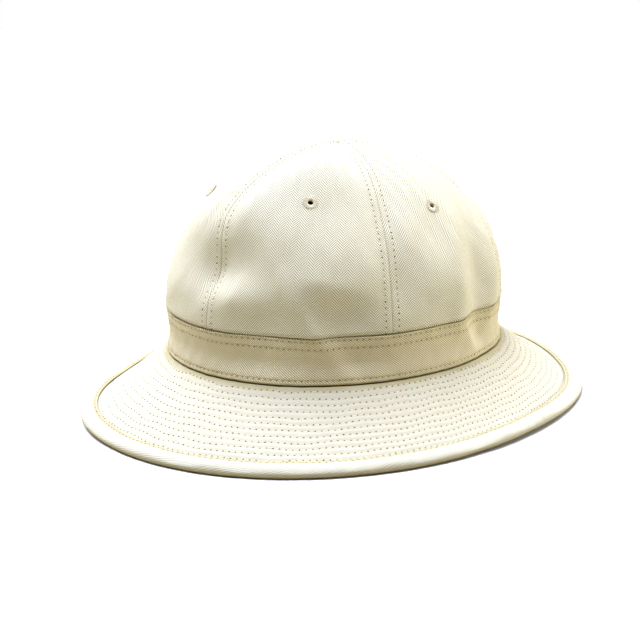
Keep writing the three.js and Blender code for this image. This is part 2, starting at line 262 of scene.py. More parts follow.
@dataclass(frozen=True)
class HatForm:
    """The hat's shape, shared by every piece: sizes in mm and the surfaces they give."""

    edge: Oval
    headline: float
    band_top: float
    head: Oval = Oval(90.4, 98.5)
    rise: float = 86.0
    swell: float = 1.005
    roundness: float = 0.83
    lean: float = 3.6
    wall: float = 1.5
    band_wall: float = 1.3
    gap: float = 0.3
    foot_steps: int = 60
    dome_steps: int = 900
    upright_reach: float = 4.0
    tuck_fade: float = 1.1
    waist: float = 1.3
    waist_height: float = 39.0
    waist_reach: float = 8.0
    seam_dip: float = 1.7
    seam_reach: float = 9.0
    seam_fade: float = 25.0
    panel_puff: float = 1.1
    foot_fade: float = 12.0
    top_fade: float = 5.0
    seams: tuple[float, ...] = (-1.5, 60.0, 120.0, 180.0, 240.0, 300.0)
    folds: tuple[Fold, ...] = FOLDS
    edge_waves: tuple[EdgeWave, ...] = EDGE_WAVES
    edge_lifts: tuple[EdgeWave, ...] = EDGE_LIFTS

    @classmethod
    def from_frame(cls) -> "HatForm":
        """Take the edge's oval, the headline and the band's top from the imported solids.

        Returns:
            The form in the frame's sizes.
        """
        low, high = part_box("brim_edge")
        foot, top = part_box("hat_band")
        edge = Oval((high[0] - low[0]) / 2 / MM, (high[1] - low[1]) / 2 / MM)
        return cls(edge=edge, headline=foot[2] / MM - cls.gap, band_top=top[2] / MM)

    @property
    def mean_radius(self) -> float:
        """Mean radius of the head oval."""
        return (self.head.x + self.head.y) / 2.0

    def panel_ends(self, number: int) -> tuple[float, float]:
        """Return the angles of the seams on both sides of a panel."""
        ends = (*self.seams, self.seams[0] + 360.0)
        return ends[number], ends[number + 1]

    @cached_property
    def meridian(self) -> tuple[Array, Array, Array]:
        """Half the crown's upright section, from its foot to the middle of the top.

        Returns:
            The arc lengths, radii and heights, densely spaced.
        """
        foot = np.linspace(self.headline + self.gap, self.band_top, self.foot_steps)[:-1]
        turn = np.linspace(0.0, math.pi / 2.0, self.dome_steps)
        dome = self.swell * self.mean_radius * np.cos(turn) ** self.roundness
        radius = np.concatenate([np.full(len(foot), self.mean_radius), dome])
        height = np.concatenate([foot, self.band_top + self.rise * np.sin(turn)])
        return lengths_along(stacked(radius, height)), radius, height

    @property
    def arc_length(self) -> float:
        """Length of the crown's section from its foot to the top."""
        return float(self.meridian[0][-1])

    def radius_at(self, arc: Array | float) -> Array:
        """Return the crown's mean radius at an arc length."""
        return np.interp(arc, self.meridian[0], self.meridian[1])

    def height_at(self, arc: Array | float) -> Array:
        """Return the crown's height at an arc length."""
        return np.interp(arc, self.meridian[0], self.meridian[2])

    def arc_at_height(self, height: float) -> float:
        """Return the arc length at which the crown reaches a height."""
        return float(np.interp(height, self.meridian[2], self.meridian[0]))

    def arc_at_radius(self, radius: float) -> float:
        """Return the arc length at which the dome has drawn in to a radius."""
        arc, radii, _ = (part[self.foot_steps:] for part in self.meridian)
        return float(np.interp(-radius, -radii, arc))

    def edge_at(self, angle: Array, height: Array | float, inset: Array | float) -> Array:
        """Return points inside the brim's edge, which wanders a little from its oval.

        Args:
            angle: Degrees from the front.
            height: Height over the rest surface in mm.
            inset: How far inside the outermost line, in mm.

        Returns:
            The points in mm.
        """
        wander, lift = (
            sum(wave.push * bell(turn_between(wave.angle, angle), wave.width) for wave in waves)
            for waves in (self.edge_waves, self.edge_lifts)
        )
        return self.edge.at(angle, height + lift, wander - inset)

    def crown_base(self, angle: Array, arc: Array) -> Array:
        """Return points of the crown without its dents.

        Args:
            angle: Degrees from the front.
            arc: Millimetres up the crown from its foot.

        Returns:
            The points in mm.
        """
        share = self.radius_at(arc) / self.mean_radius
        height = self.height_at(arc)
        turn = np.radians(angle)
        lean = self.lean * np.clip((height - self.band_top) / self.rise, 0.0, None)
        east = self.head.x * share * np.sin(turn)
        north = -self.head.y * share * np.cos(turn) + lean
        return stacked(east, north, height)

    def crown_normal(self, angle: Array, arc: Array) -> Array:
        """Return the outward normals of the crown without its dents.

        Args:
            angle: Degrees from the front.
            arc: Millimetres up the crown from its foot.

        Returns:
            Unit vectors.
        """
        step, swing = 0.4, 0.5
        lower = np.clip(np.asarray(arc, dtype=float) - step, 0.0, self.arc_length - 2.0 * step)
        up = self.crown_base(angle, lower + 2.0 * step) - self.crown_base(angle, lower)
        inner = np.minimum(arc, self.arc_length - step)
        turned = self.crown_base(np.asarray(angle) + swing, inner)
        turned = turned - self.crown_base(np.asarray(angle) - swing, inner)
        slanted = unit(np.cross(turned, up))
        # Behind the band the cloth stands upright, so its normal is level there.
        turn = np.radians(np.asarray(angle) + 0.0 * np.asarray(arc))
        level = stacked(np.sin(turn), -np.cos(turn), 0.0)
        share = ease(self.height_at(arc), self.band_top, self.band_top + self.upright_reach)
        share = np.broadcast_to(share, turn.shape)[..., None]
        return unit(level * (1.0 - share) + slanted * share)

    def fold_push(self, angle: Array, height: Array) -> Array:
        """Return how far the folds push the cloth out.

        Args:
            angle: Degrees from the front.
            height: Height over the rest surface in mm.

        Returns:
            Millimetres outwards.
        """
        push = np.zeros(np.broadcast(angle, height).shape)
        for fold in self.folds:
            sideways = np.radians(turn_between(fold.angle, angle)) * self.mean_radius
            upwards = height - fold.height
            turn = math.radians(fold.turn)
            across = (sideways * math.cos(turn) - upwards * math.sin(turn)) / fold.across
            along = (sideways * math.sin(turn) + upwards * math.cos(turn)) / fold.along
            push = push + fold.push * np.exp(-(across**2 + along**2) / 2.0)
        push = push - self.waist * bell(height - self.waist_height, self.waist_reach)
        low = ease(height, self.headline, self.headline + self.foot_fade)
        return push * low * ease(self.band_top + self.rise - height, 0.0, self.top_fade)

    def to_seam(self, angle: Array) -> Array:
        """Return the turn to the nearest crown seam, in degrees."""
        turns = [np.abs(turn_between(seam, angle)) for seam in self.seams]
        return np.minimum.reduce(turns)

    def seam_push(self, angle: Array, arc: Array) -> Array:
        """Return how far the seams' valleys and the swell between them push the cloth out.

        Args:
            angle: Degrees from the front.
            arc: Millimetres up the crown from its foot.

        Returns:
            Millimetres outwards.
        """
        distance = np.radians(self.to_seam(angle)) * self.radius_at(arc)
        swell = np.sin(math.pi * self.to_seam(angle) * len(self.seams) / 360.0) ** 2
        push = self.panel_puff * swell - self.seam_dip * bell(distance, self.seam_reach)
        return push * ease(self.height_at(arc), self.band_top, self.band_top + self.seam_fade)

    def crown_point(self, angle: Array, arc: Array, push: Array | float = 0.0) -> Array:
        """Return points of the crown's outer face, moved out by push.

        Args:
            angle: Degrees from the front.
            arc: Millimetres up the crown from its foot.
            push: How far the point moves out.

        Returns:
            The points in mm.
        """
        height = self.height_at(arc)
        open_share = ease(height, self.band_top, self.band_top + self.tuck_fade)
        tuck = (self.band_wall + self.gap) * (1.0 - open_share)
        out = self.fold_push(angle, height) + self.seam_push(angle, arc) - tuck + push
        return self.crown_base(angle, arc) + self.crown_normal(angle, arc) * out[..., None]


@dataclass(frozen=True)
class Unevenness:
    """Small irregular waves of worn cloth, the same on every run.

    Each wave runs a whole number of times round the hat, so that a ring closes on itself.
    """

    seed: int
    turns: tuple[int, int]
    lengths: tuple[float, float]
    height: float
    count: int = 14

    def at(self, angle: Array, along: Array) -> Array:
        """Return the waves' height.

        Args:
            angle: Degrees from the front.
            along: Millimetres on the cloth, square to the ring.

        Returns:
            Heights whose spread is about the waves' height.
        """
        draw = np.random.default_rng(self.seed)
        total = np.zeros(np.broadcast(angle, along).shape)
        for _ in range(self.count):
            turns = int(draw.integers(self.turns[0], self.turns[1] + 1))
            length = draw.uniform(*self.lengths) * draw.choice([-1.0, 1.0])
            start = draw.uniform(0.0, 2.0 * math.pi)
            phase = turns * np.radians(angle) + 2.0 * math.pi * along / length + start
            total = total + np.sin(phase)
        return total * self.height * math.sqrt(2.0 / self.count)


# ---------------------------------------------------------------- meshes from grids


@dataclass
class ClothGrid:
    """A closed shell of cloth on a grid of points: rows of closed sections.

    The sections are either joined end to end, as in a band, or capped at both ends, as in a
    panel. Each point has a place on the cloth in mm, for the weave, and a painted shade value that
    darkens its colour where shade falls.
    """

    name: str
    points: Array
    cloth: Array
    painted_shade: Array
    joined: bool = True

    def _quads(self, down: int, across: int) -> Array:
        """Return the corner indices of a plain grid's quads."""
        first = (np.arange(down)[:, None] * (across + 1) + np.arange(across)[None, :]).ravel()
        return np.stack([first, first + across + 1, first + across + 2, first + 1], axis=-1)

    def build(self) -> bpy.types.Object:
        """Make the closed mesh with its cloth map and painted shade attribute.

        Returns:
            The new object, at the origin, with its outside facing out.
        """
        rows, loop = self.points.shape[:2]
        down = rows if self.joined else rows - 1
        corners = self._quads(down, loop)
        row, column = np.divmod(corners, loop + 1)
        vertices = np.mod(row, rows) * loop + np.mod(column, loop)
        places = self.cloth.reshape(-1, 2)[corners]
        faces = [vertices]
        maps = [places]
        if not self.joined:
            # Each end is closed by quads across the section, from its outer to its inner half.
            half = loop // 2
            pair = np.arange(half - 1)
            cap = np.stack([pair, pair + 1, loop - 2 - pair, loop - 1 - pair], axis=-1)
            for start, turn in ((0, 1), ((rows - 1) * loop, -1)):
                faces.append(start + cap[:, ::turn])
                flat = (start // loop) * (loop + 1) + cap[:, ::turn]
                maps.append(self.cloth.reshape(-1, 2)[flat])
        quads = np.concatenate(faces)
        places = np.concatenate(maps)
        flat_points = self.points.reshape(-1, 3) * MM
        if self._volume(flat_points, quads) < 0.0:
            quads, places = quads[:, ::-1], places[:, ::-1]
        return self._mesh(flat_points, quads, places)

    @staticmethod
    def _volume(points: Array, quads: Array) -> float:
        """Return the signed volume that the quads enclose.

        Args:
            points: The points in metres.
            quads: The faces, as rows of four corners.

        Returns:
            The volume, which is below 0 where the faces point inwards.
        """
        a, b, c, d = (points[quads[:, corner]] for corner in range(4))
        first = np.einsum("ij,ij->i", a, np.cross(b, c))
        second = np.einsum("ij,ij->i", a, np.cross(c, d))
        return float((first + second).sum() / 6.0)

    def _mesh(self, points: Array, quads: Array, places: Array) -> bpy.types.Object:
        """Turn arrays of points and quads into a smooth Blender object.

        Args:
            points: The points in metres.
            quads: The faces, as rows of four corners.
            places: The place on the cloth in mm at each face corner.

        Returns:
            The new object.
        """
        mesh = bpy.data.meshes.new(self.name)
        mesh.vertices.add(len(points))
        mesh.vertices.foreach_set("co", points.astype(np.float32).ravel())
        mesh.loops.add(quads.size)
        mesh.loops.foreach_set("vertex_index", quads.astype(np.int32).ravel())
        mesh.polygons.add(len(quads))
        mesh.polygons.foreach_set("loop_start", np.arange(0, quads.size, 4, dtype=np.int32))
        mesh.update(calc_edges=True)
        mesh.polygons.foreach_set("use_smooth", np.ones(len(quads), dtype=bool))
        layer = mesh.uv_layers.new(name="cloth")
        layer.uv.foreach_set("vector", places.astype(np.float32).ravel())
        painted_shade = mesh.attributes.new("painted_shade", "FLOAT", "POINT")
        painted_shade.data.foreach_set("value", self.painted_shade.astype(np.float32).ravel())
        mesh.update()
        return add_to_scene(self.name, mesh)


def hand_in(piece: bpy.types.Object, slot: str, material: bpy.types.Material, *nodes: str) -> None:
    """Dress a finished piece and enter it in the frame.

    Args:
        piece: The finished object.
        slot: Not used.
        material: Its material.
        *nodes: The solids that it stands for.
    """
    piece.data.materials.clear()
    piece.data.materials.append(material)
    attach(piece, "root")
    if nodes:
        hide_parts(*nodes)
    LOG.info("%s: %d faces, stands for %s", piece.name, len(piece.data.polygons), nodes or "none")


# ---------------------------------------------------------------- stitches


def surface_path(surface: Surface, angle: Array, along: Array) -> tuple[Array, Array]:
    """Read a path on a surface, with its outward normals.

    Args:
        surface: Gives points for an angle and a place along the cloth.
        angle: Degrees from the front at each point of the path.
        along: Millimetres along the cloth at each point of the path.

    Returns:
        The points and the normals.
    """
    swing, step = 0.6, 0.8
    across = surface(angle + swing, along) - surface(angle - swing, along)
    upward = surface(angle, along + step) - surface(angle, along - step)
    return surface(angle, along), unit(np.cross(across, upward))


@dataclass
class StitchRun:
    """Evenly spaced stitches along a path: their middles and the needle holes between them."""

    middles: Array
    along: Array
    up: Array
    holes: Array
    holes_up: Array

    @classmethod
    def follow(
        cls, surface: Surface, angle: Array, along: Array | float, pitch: float
    ) -> "StitchRun":
        """Space stitches along a path on the cloth.

        Args:
            surface: Gives points for an angle and a place along the cloth.
            angle: Degrees from the front at closely spaced points of the path.
            along: Millimetres along the cloth at those points.
            pitch: Wanted distance from one needle hole to the next in mm.

        Returns:
            The run of stitches.
        """
        path, up = surface_path(surface, angle, along + np.zeros_like(angle))
        total = lengths_along(path)
        count = max(2, round(total[-1] / pitch))
        ends = total[-1] * np.arange(count) / count
        middles = ends + total[-1] / count / 2.0

        def read(values: Array, places: Array) -> Array:
            """Return the values at places along the path."""
            return stacked(*(np.interp(places, total, part) for part in values.T))

        reach = 0.4
        ahead = read(path, np.minimum(middles + reach, total[-1]))
        behind = read(path, np.maximum(middles - reach, 0.0))
        return cls(
            middles=read(path, middles),
            along=unit(ahead - behind),
            up=unit(read(up, middles)),
            holes=read(path, ends),
            holes_up=unit(read(up, ends)),
        )


@dataclass(frozen=True)
class StitchShape:
    """The size of one stitch, or of one grain of painted shade in a needle hole, in mm, and how
    unevenly it is set.
    """

    length: float
    width: float
    height: float
    sink: float
    segments: int = 6
    rings: int = 4
    wander: float = 0.10
    spread: float = 0.12


THREAD = StitchShape(length=2.75, width=0.62, height=0.5, sink=0.05)
NEEDLE_HOLE_SHADE = StitchShape(length=0.92, width=0.84, height=0.34, sink=0.06, segments=5, rings=3)


class StitchWork:
    """Sets one grain of thread, or one dark grain of painted shade in a needle hole, on every point
    of a run.
    """

    def __init__(self) -> None:
        """Build the node tree that all the runs share."""
        self.tree = self._tree()

    def _tree(self) -> bpy.types.NodeTree:
        """Build the tree: a grain on each point, turned to the run and to the cloth.

        Returns:
            The tree with its named inputs.
        """
        tree = bpy.data.node_groups.new("set stitches along runs", "GeometryNodeTree")
        sockets = {
            "Points": "Geometry", "Length": "Float", "Width": "Float", "Height": "Float",
            "Segments": "Int", "Rings": "Int", "Wander": "Float", "Spread": "Float",
            "Seed": "Int", "Finish": "Material",
        }
        for name, kind in sockets.items():
            tree.interface.new_socket(name, in_out="INPUT", socket_type=f"NodeSocket{kind}")
        tree.interface.new_socket("Stitches", in_out="OUTPUT", socket_type="NodeSocketGeometry")
        given = add_node(tree, "NodeGroupInput").outputs
        grain = add_node(tree, "GeometryNodeMeshUVSphere", inputs={
            "Segments": given["Segments"], "Rings": given["Rings"], "Radius": 0.5,
        })
        size = add_node(tree, "ShaderNodeCombineXYZ", inputs={
            "X": given["Length"], "Y": given["Width"], "Z": given["Height"],
        })
        shaped = add_node(tree, "GeometryNodeTransform", inputs={
            "Geometry": grain.outputs["Mesh"], "Scale": size.outputs["Vector"],
        })
        smooth = add_node(tree, "GeometryNodeSetShadeSmooth", inputs={
            "Geometry": shaped.outputs["Geometry"],
        })
        along, up = (
            add_node(
                tree, "GeometryNodeInputNamedAttribute",
                {"data_type": "FLOAT_VECTOR"}, {"Name": name},
            ).outputs["Attribute"]
            for name in ("along", "up")
        )
        facing = add_node(
            tree, "FunctionNodeAxesToRotation", {"primary_axis": "Z", "secondary_axis": "X"},
            {"Primary Axis": up, "Secondary Axis": along},
        )
        back = add_node(tree, "ShaderNodeMath", {"operation": "MULTIPLY"}, {
            0: given["Wander"], 1: -1.0,
        })
        swing = add_node(tree, "FunctionNodeRandomValue", {"data_type": "FLOAT"}, {
            2: back.outputs[0], 3: given["Wander"], "Seed": given["Seed"],
        })
        turn = add_node(tree, "ShaderNodeCombineXYZ", inputs={"Z": swing.outputs[1]})
        turned = add_node(tree, "FunctionNodeRotateRotation", {"rotation_space": "LOCAL"}, {
            "Rotation": facing.outputs["Rotation"],
            "Rotate By": add_node(tree, "FunctionNodeEulerToRotation", inputs={
                "Euler": turn.outputs["Vector"],
            }).outputs["Rotation"],
        })
        small = add_node(tree, "ShaderNodeMath", {"operation": "SUBTRACT"}, {
            0: 1.0, 1: given["Spread"],
        })
        large = add_node(tree, "ShaderNodeMath", {"operation": "ADD"}, {0: 1.0, 1: given["Spread"]})
        scale = add_node(tree, "FunctionNodeRandomValue", {"data_type": "FLOAT"}, {
            2: small.outputs[0], 3: large.outputs[0], "Seed": given["Seed"],
        })
        placed = add_node(tree, "GeometryNodeInstanceOnPoints", inputs={
            "Points": given["Points"],
            "Instance": smooth.outputs["Geometry"],
            "Rotation": turned.outputs["Rotation"],
            "Scale": scale.outputs[1],
        })
        real = add_node(tree, "GeometryNodeRealizeInstances", inputs={
            "Geometry": placed.outputs["Instances"],
        })
        dressed = add_node(tree, "GeometryNodeSetMaterial", inputs={
            "Geometry": real.outputs["Geometry"], "Material": given["Finish"],
        })
        add_node(tree, "NodeGroupOutput", inputs={"Stitches": dressed.outputs["Geometry"]})
        return tree

    def set_down(
        self,
        name: str,
        places: tuple[Array, Array, Array],
        shape: StitchShape,
        material: bpy.types.Material,
        seed: int,
    ) -> bpy.types.Object:
        """Set a grain on each point and turn the result into a plain mesh.

        Args:
            name: Name of the new object.
            places: Points in mm, the run's direction and the cloth's normal at each.
            shape: The grain's size.
            material: The grain's material.
            seed: Seed of the small irregularities.

        Returns:
            The new object, with no modifier left on it.
        """
        points, along, up = places
        mesh = bpy.data.meshes.new(name)
        mesh.vertices.add(len(points))
        sunk = (points - up * shape.sink) * MM
        mesh.vertices.foreach_set("co", sunk.astype(np.float32).ravel())
        for key, vectors in (("along", along), ("up", up)):
            layer = mesh.attributes.new(key, "FLOAT_VECTOR", "POINT")
            layer.data.foreach_set("vector", vectors.astype(np.float32).ravel())
        thing = add_to_scene(name, mesh)
        modifier = thing.modifiers.new("stitches", "NODES")
        modifier.node_group = self.tree
        values = {
            "Length": shape.length * MM,
            "Width": shape.width * MM,
            "Height": shape.height * MM,
            "Segments": shape.segments,
            "Rings": shape.rings,
            "Wander": shape.wander,
            "Spread": shape.spread,
            "Seed": seed,
            "Finish": material,
        }
        for item in self.tree.interface.items_tree:
            if item.in_out == "INPUT" and item.name in values:
                modifier[item.identifier] = values[item.name]
        return made_plain(thing)

    def sew(
        self,
        name: str,
        runs: list[StitchRun],
        slot: str,
        finishes: tuple[bpy.types.Material, bpy.types.Material],
        seed: int,
    ) -> None:
        """Sew runs of stitches with the painted shade of their needle holes.

        Args:
            name: Name of the place that they belong to.
            runs: The runs.
            slot: The record's material slot of the cloth that they hold.
            finishes: Materials of the thread and of the painted shade in the needle holes.
            seed: Seed of the small irregularities.
        """
        thread, shade = finishes
        middles, along, up, holes, holes_up = (
            np.concatenate([getattr(run, key) for run in runs])
            for key in ("middles", "along", "up", "holes", "holes_up")
        )
        sewn = self.set_down(f"{name}_stitches", (middles, along, up), THREAD, thread, seed)
        hand_in(sewn, slot, thread)
        pierced = self.set_down(
            f"{name}_needle_hole_shade", (holes, along, holes_up), NEEDLE_HOLE_SHADE, shade, seed + 1
        )
        hand_in(pierced, slot, shade)


def made_plain(thing: bpy.types.Object) -> bpy.types.Object:
    """Replace an object's mesh by what its modifiers make of it, and remove them.

    Args:
        thing: The object.

    Returns:
        The same object.
    """
    graph = bpy.context.evaluated_depsgraph_get()
    result = bpy.data.meshes.new_from_object(
        thing.evaluated_get(graph), preserve_all_data_layers=True, depsgraph=graph
    )
    thing.modifiers.clear()
    thing.data = result
    return thing


# ---------------------------------------------------------------- finishes


def add_node(
    tree: bpy.types.NodeTree,
    kind: str,
    settings: dict[str, Any] | None = None,
    inputs: dict[str | int, Any] | None = None,
) -> bpy.types.Node:
    """Add a node with its settings, values and links.

    Args:
        tree: The tree that gets it.
        kind: Its type's identifier.
        settings: Properties of the node.
        inputs: For each socket's name or number, a value or the output that feeds it.

    Returns:
        The new node.
    """
    node = tree.nodes.new(kind)
    for name, value in (settings or {}).items():
        setattr(node, name, value)
    feed(node, inputs or {})
    return node


def feed(node: bpy.types.Node, inputs: dict[str | int, Any]) -> None:
    """Give a node's sockets their values and links.

    Args:
        node: The node that gets them.
        inputs: For each socket's name or number, a value or the output that feeds it.
    """
    for name, value in inputs.items():
        if isinstance(value, bpy.types.NodeSocket):
            node.id_data.links.new(value, node.inputs[name])
        else:
            node.inputs[name].default_value = value


def new_material(name: str) -> tuple[bpy.types.Material, bpy.types.Node]:
    """Make a material with nodes.

    Args:
        name: Name of the new material.

    Returns:
        The material and its shader.
    """
    material = bpy.data.materials.new(name)
    material.use_nodes = True
    return material, material.node_tree.nodes["Principled BSDF"]


class Weave(Enum):
    """How the cloth's threads cross, which sets the pattern that shows."""

    HERRINGBONE = "herringbone twill"
    TWILL = "plain diagonal twill"


@dataclass(frozen=True)
class CottonFinish:
    """Cotton twill, piece-dyed and washed: matt, with a diagonal rib and a little fuzz.

    The face is the cloth's own colour. The hollow is the colour between its ribs, painted shade in
    the weave's low parts. The painted shading colour is painted shade where the painted shade
    attribute marks seams, stitch rows and crevices. The rib, the width of a herringbone column, the
    fuzz and the patches are in mm.
    """

    name: str
    face: str
    hollow: str
    painted_shading: str
    weave: Weave
    rib: float
    slope: float
    relief: float
    contrast: float
    column: float = 3.2
    fuzz: float = 0.45
    fuzz_relief: float = 0.05
    patch: float = 26.0
    roughness: float = 0.93
    sheen: float = 0.06

    def _ribs(self, tree: bpy.types.NodeTree) -> bpy.types.NodeSocket:
        """Draw the ribs of the weave.

        Args:
            tree: The material's node tree.

        Returns:
            The socket with the ribs' height, from 0 to 1.
        """
        place = add_node(tree, "ShaderNodeUVMap", {"uv_map": "cloth"})
        parts = add_node(tree, "ShaderNodeSeparateXYZ", inputs={"Vector": place.outputs["UV"]})
        across, up = parts.outputs["X"], parts.outputs["Y"]
        if self.weave is Weave.HERRINGBONE:
            # The ribs turn back at each column's edge and are offset there by half a rib.
            zigzag = add_node(tree, "ShaderNodeMath", {"operation": "PINGPONG"}, {
                0: across, 1: self.column,
            })
            lifted = add_node(tree, "ShaderNodeMath", {"operation": "MULTIPLY_ADD"}, {
                0: zigzag.outputs[0], 1: self.slope, 2: up,
            })
            number = add_node(tree, "ShaderNodeMath", {"operation": "DIVIDE"}, {
                0: across, 1: self.column,
            })
            whole = add_node(tree, "ShaderNodeMath", {"operation": "FLOOR"}, {0: number.outputs[0]})
            diagonal = add_node(tree, "ShaderNodeMath", {"operation": "MULTIPLY_ADD"}, {
                0: whole.outputs[0], 1: self.rib / 2.0, 2: lifted.outputs[0],
            })
        else:
            diagonal = add_node(tree, "ShaderNodeMath", {"operation": "MULTIPLY_ADD"}, {
                0: across, 1: self.slope, 2: up,
            })
        phase = add_node(tree, "ShaderNodeMath", {"operation": "MULTIPLY"}, {
            0: diagonal.outputs[0], 1: 2.0 * math.pi / self.rib,
        })
        wave = add_node(tree, "ShaderNodeMath", {"operation": "SINE"}, {0: phase.outputs[0]})
        return add_node(tree, "ShaderNodeMath", {"operation": "MULTIPLY_ADD"}, {
            0: wave.outputs[0], 1: 0.5, 2: 0.5,
        }).outputs[0]

    def make(self) -> bpy.types.Material:
        """Build the material.

        Returns:
            The new material.
        """
        material, shader = new_material(self.name)
        tree = material.node_tree
        ribs = self._ribs(tree)
        spot = add_node(tree, "ShaderNodeTexCoord").outputs["Object"]
        fuzz = add_node(tree, "ShaderNodeTexNoise", inputs={
            "Vector": spot, "Scale": 1.0 / (self.fuzz * MM), "Detail": 2.0, "Roughness": 0.6,
        })
        patch = add_node(tree, "ShaderNodeTexNoise", inputs={
            "Vector": spot, "Scale": 1.0 / (self.patch * MM), "Detail": 3.0,
        })
        # Painted shade: the cloth goes towards the hollow colour where the ribs are low, which
        # draws the weave.
        share = add_node(tree, "ShaderNodeMath", {"operation": "MULTIPLY_ADD"}, {
            0: ribs, 1: -self.contrast, 2: self.contrast,
        })
        cloth = add_node(tree, "ShaderNodeMix", {"data_type": "RGBA"}, {
            "Factor": share.outputs[0],
            "A": linear_colour(self.face),
            "B": linear_colour(self.hollow),
        })
        # Painted shade: where the painted shade attribute marks it, the cloth darkens towards the
        # painted shading colour, unevenly in patches.
        painted_shade = add_node(tree, "ShaderNodeAttribute", {"attribute_name": "painted_shade"})
        uneven = add_node(tree, "ShaderNodeMath", {"operation": "MULTIPLY_ADD"}, {
            0: patch.outputs["Fac"], 1: 0.7, 2: 0.55,
        })
        painted_shading = add_node(tree, "ShaderNodeMath", {"operation": "MULTIPLY", "use_clamp": True}, {
            0: painted_shade.outputs["Fac"], 1: uneven.outputs[0],
        })
        colour = add_node(tree, "ShaderNodeMix", {"data_type": "RGBA"}, {
            "Factor": painted_shading.outputs[0],
            "A": cloth.outputs["Result"],
            "B": linear_colour(self.painted_shading),
        })
        fibre = add_node(tree, "ShaderNodeMapRange", inputs={
            "Value": fuzz.outputs["Fac"], "To Min": 0.965, "To Max": 1.03,
        })
        tinted = add_node(tree, "ShaderNodeVectorMath", {"operation": "SCALE"}, {
            0: colour.outputs["Result"], "Scale": fibre.outputs["Result"],
        })
        relief = add_node(tree, "ShaderNodeMath", {"operation": "MULTIPLY_ADD"}, {
            0: fuzz.outputs["Fac"], 1: self.fuzz_relief / self.relief, 2: ribs,
        })
        bump = add_node(tree, "ShaderNodeBump", inputs={
            "Strength": 1.0, "Distance": self.relief * MM, "Height": relief.outputs[0],
        })
        feed(shader, {
            "Base Color": tinted.outputs[0], "Normal": bump.outputs["Normal"],
            "Roughness": self.roughness, "IOR": 1.46, "Specular IOR Level": 0.15,
            "Sheen Weight": self.sheen, "Sheen Roughness": 0.5,
        })
        return material


@dataclass(frozen=True)
class ThreadFinish:
    """Cotton-wrapped polyester thread: a soft low gloss over two twisted strands.

    The twist is in mm. A notch shade is painted shade between threads that are wound side by side.
    """

    name: str
    strand: str
    groove: str
    roughness: float = 0.75
    twist: float = 0.5
    notch_shade: str | None = None

    def make(self) -> bpy.types.Material:
        """Build the material.

        Returns:
            The new material.
        """
        material, shader = new_material(self.name)
        tree = material.node_tree
        spot = add_node(tree, "ShaderNodeTexCoord").outputs["Object"]
        strands = add_node(tree, "ShaderNodeTexNoise", inputs={
            "Vector": spot, "Scale": 1.0 / (self.twist * MM), "Detail": 1.0,
        })
        # Painted shade: the groove colour darkens the low parts between the twisted strands.
        colour = add_node(tree, "ShaderNodeMix", {"data_type": "RGBA"}, {
            "Factor": strands.outputs["Fac"],
            "A": linear_colour(self.groove),
            "B": linear_colour(self.strand),
        })
        if self.notch_shade:
            # Painted shade in the notches, where the painted shade attribute marks them.
            painted_shade = add_node(tree, "ShaderNodeAttribute", {"attribute_name": "painted_shade"})
            colour = add_node(tree, "ShaderNodeMix", {"data_type": "RGBA"}, {
                "Factor": painted_shade.outputs["Fac"],
                "A": colour.outputs["Result"],
                "B": linear_colour(self.notch_shade),
            })
        bump = add_node(tree, "ShaderNodeBump", inputs={
            "Distance": 0.12 * MM, "Height": strands.outputs["Fac"],
        })
        feed(shader, {
            "Base Color": colour.outputs["Result"], "Normal": bump.outputs["Normal"],
            "Roughness": self.roughness, "Specular IOR Level": 0.3,
        })
        return material


class Finishes:
    """The hat's materials, made once and shared by its pieces."""

    def __init__(self) -> None:
        """Make each material from its finish."""
        # Herringbone twill: the ribs of the real cloth are under 1 mm apart; drawn at 1.3 mm
        # so that the chevrons show at the size of the render.
        self.panel_twill = CottonFinish(
            "herringbone cotton twill", "#f3efdf", "#a8a07c", "#b9ae84",
            Weave.HERRINGBONE, rib=1.3, slope=1.0, relief=0.11, contrast=0.95,
        ).make()
        # The band's twill is cut across, so its rib runs at a low slant.
        self.band_twill = CottonFinish(
            "diagonal cotton twill", "#f2ebd4", "#a99e74", "#b3a676",
            Weave.TWILL, rib=1.15, slope=0.8, relief=0.12, contrast=0.9,
        ).make()
        # Pressed and quilted: the rib is almost gone and the cloth looks smooth and pale. Its
        # colours are a darker copy of the crown's twill, painted shade that offsets the strong
        # light on the upturned brim.
        self.brim_twill = CottonFinish(
            "quilted cotton twill", "#d6d1bf", "#b0a88c", "#bab18a",
            Weave.TWILL, rib=1.1, slope=0.8, relief=0.09, contrast=0.5,
        ).make()
        # Cut on the slant and folded over padding: the rib lies almost along the edge. Its colours
        # are the brim's darker copy of the crown's twill, painted shade, and its turn is darkened
        # with painted shade.
        self.edge_twill = CottonFinish(
            "bound cotton twill", "#d1cdbb", "#b0a88a", "#b0a470",
            Weave.TWILL, rib=1.1, slope=0.3, relief=0.1, contrast=0.45,
        ).make()
        # Sewing thread in the cloth's colour; the binding's has yellowed more.
        self.thread = ThreadFinish("cotton-wrapped thread", "#e9e2cb", "#cfc4a0").make()
        self.edge_thread = ThreadFinish("binding thread", "#ddd2a6", "#bcae7c").make()
        # Wound tightly side by side; the dark notches between the threads are painted shade.
        self.eyelet_thread = ThreadFinish(
            "eyelet thread", "#eee8d6", "#d6cdb0", notch_shade="#6f6544"
        ).make()
        # A dark grain in each needle hole is painted shade, where the cloth dips into the hole and
        # the light is taken away.
        self.needle_shade = ThreadFinish("shaded needle hole", "#5c543b", "#302c1e", 0.95).make()

    @property
    def sewing(self) -> tuple[bpy.types.Material, bpy.types.Material]:
        """Materials of the thread and of the painted shade in the needle holes."""
        return self.thread, self.needle_shade

    @property
    def edging(self) -> tuple[bpy.types.Material, bpy.types.Material]:
        """Materials of the binding's thread and of the painted shade in its needle holes."""
        return self.edge_thread, self.needle_shade


# ---------------------------------------------------------------- crown


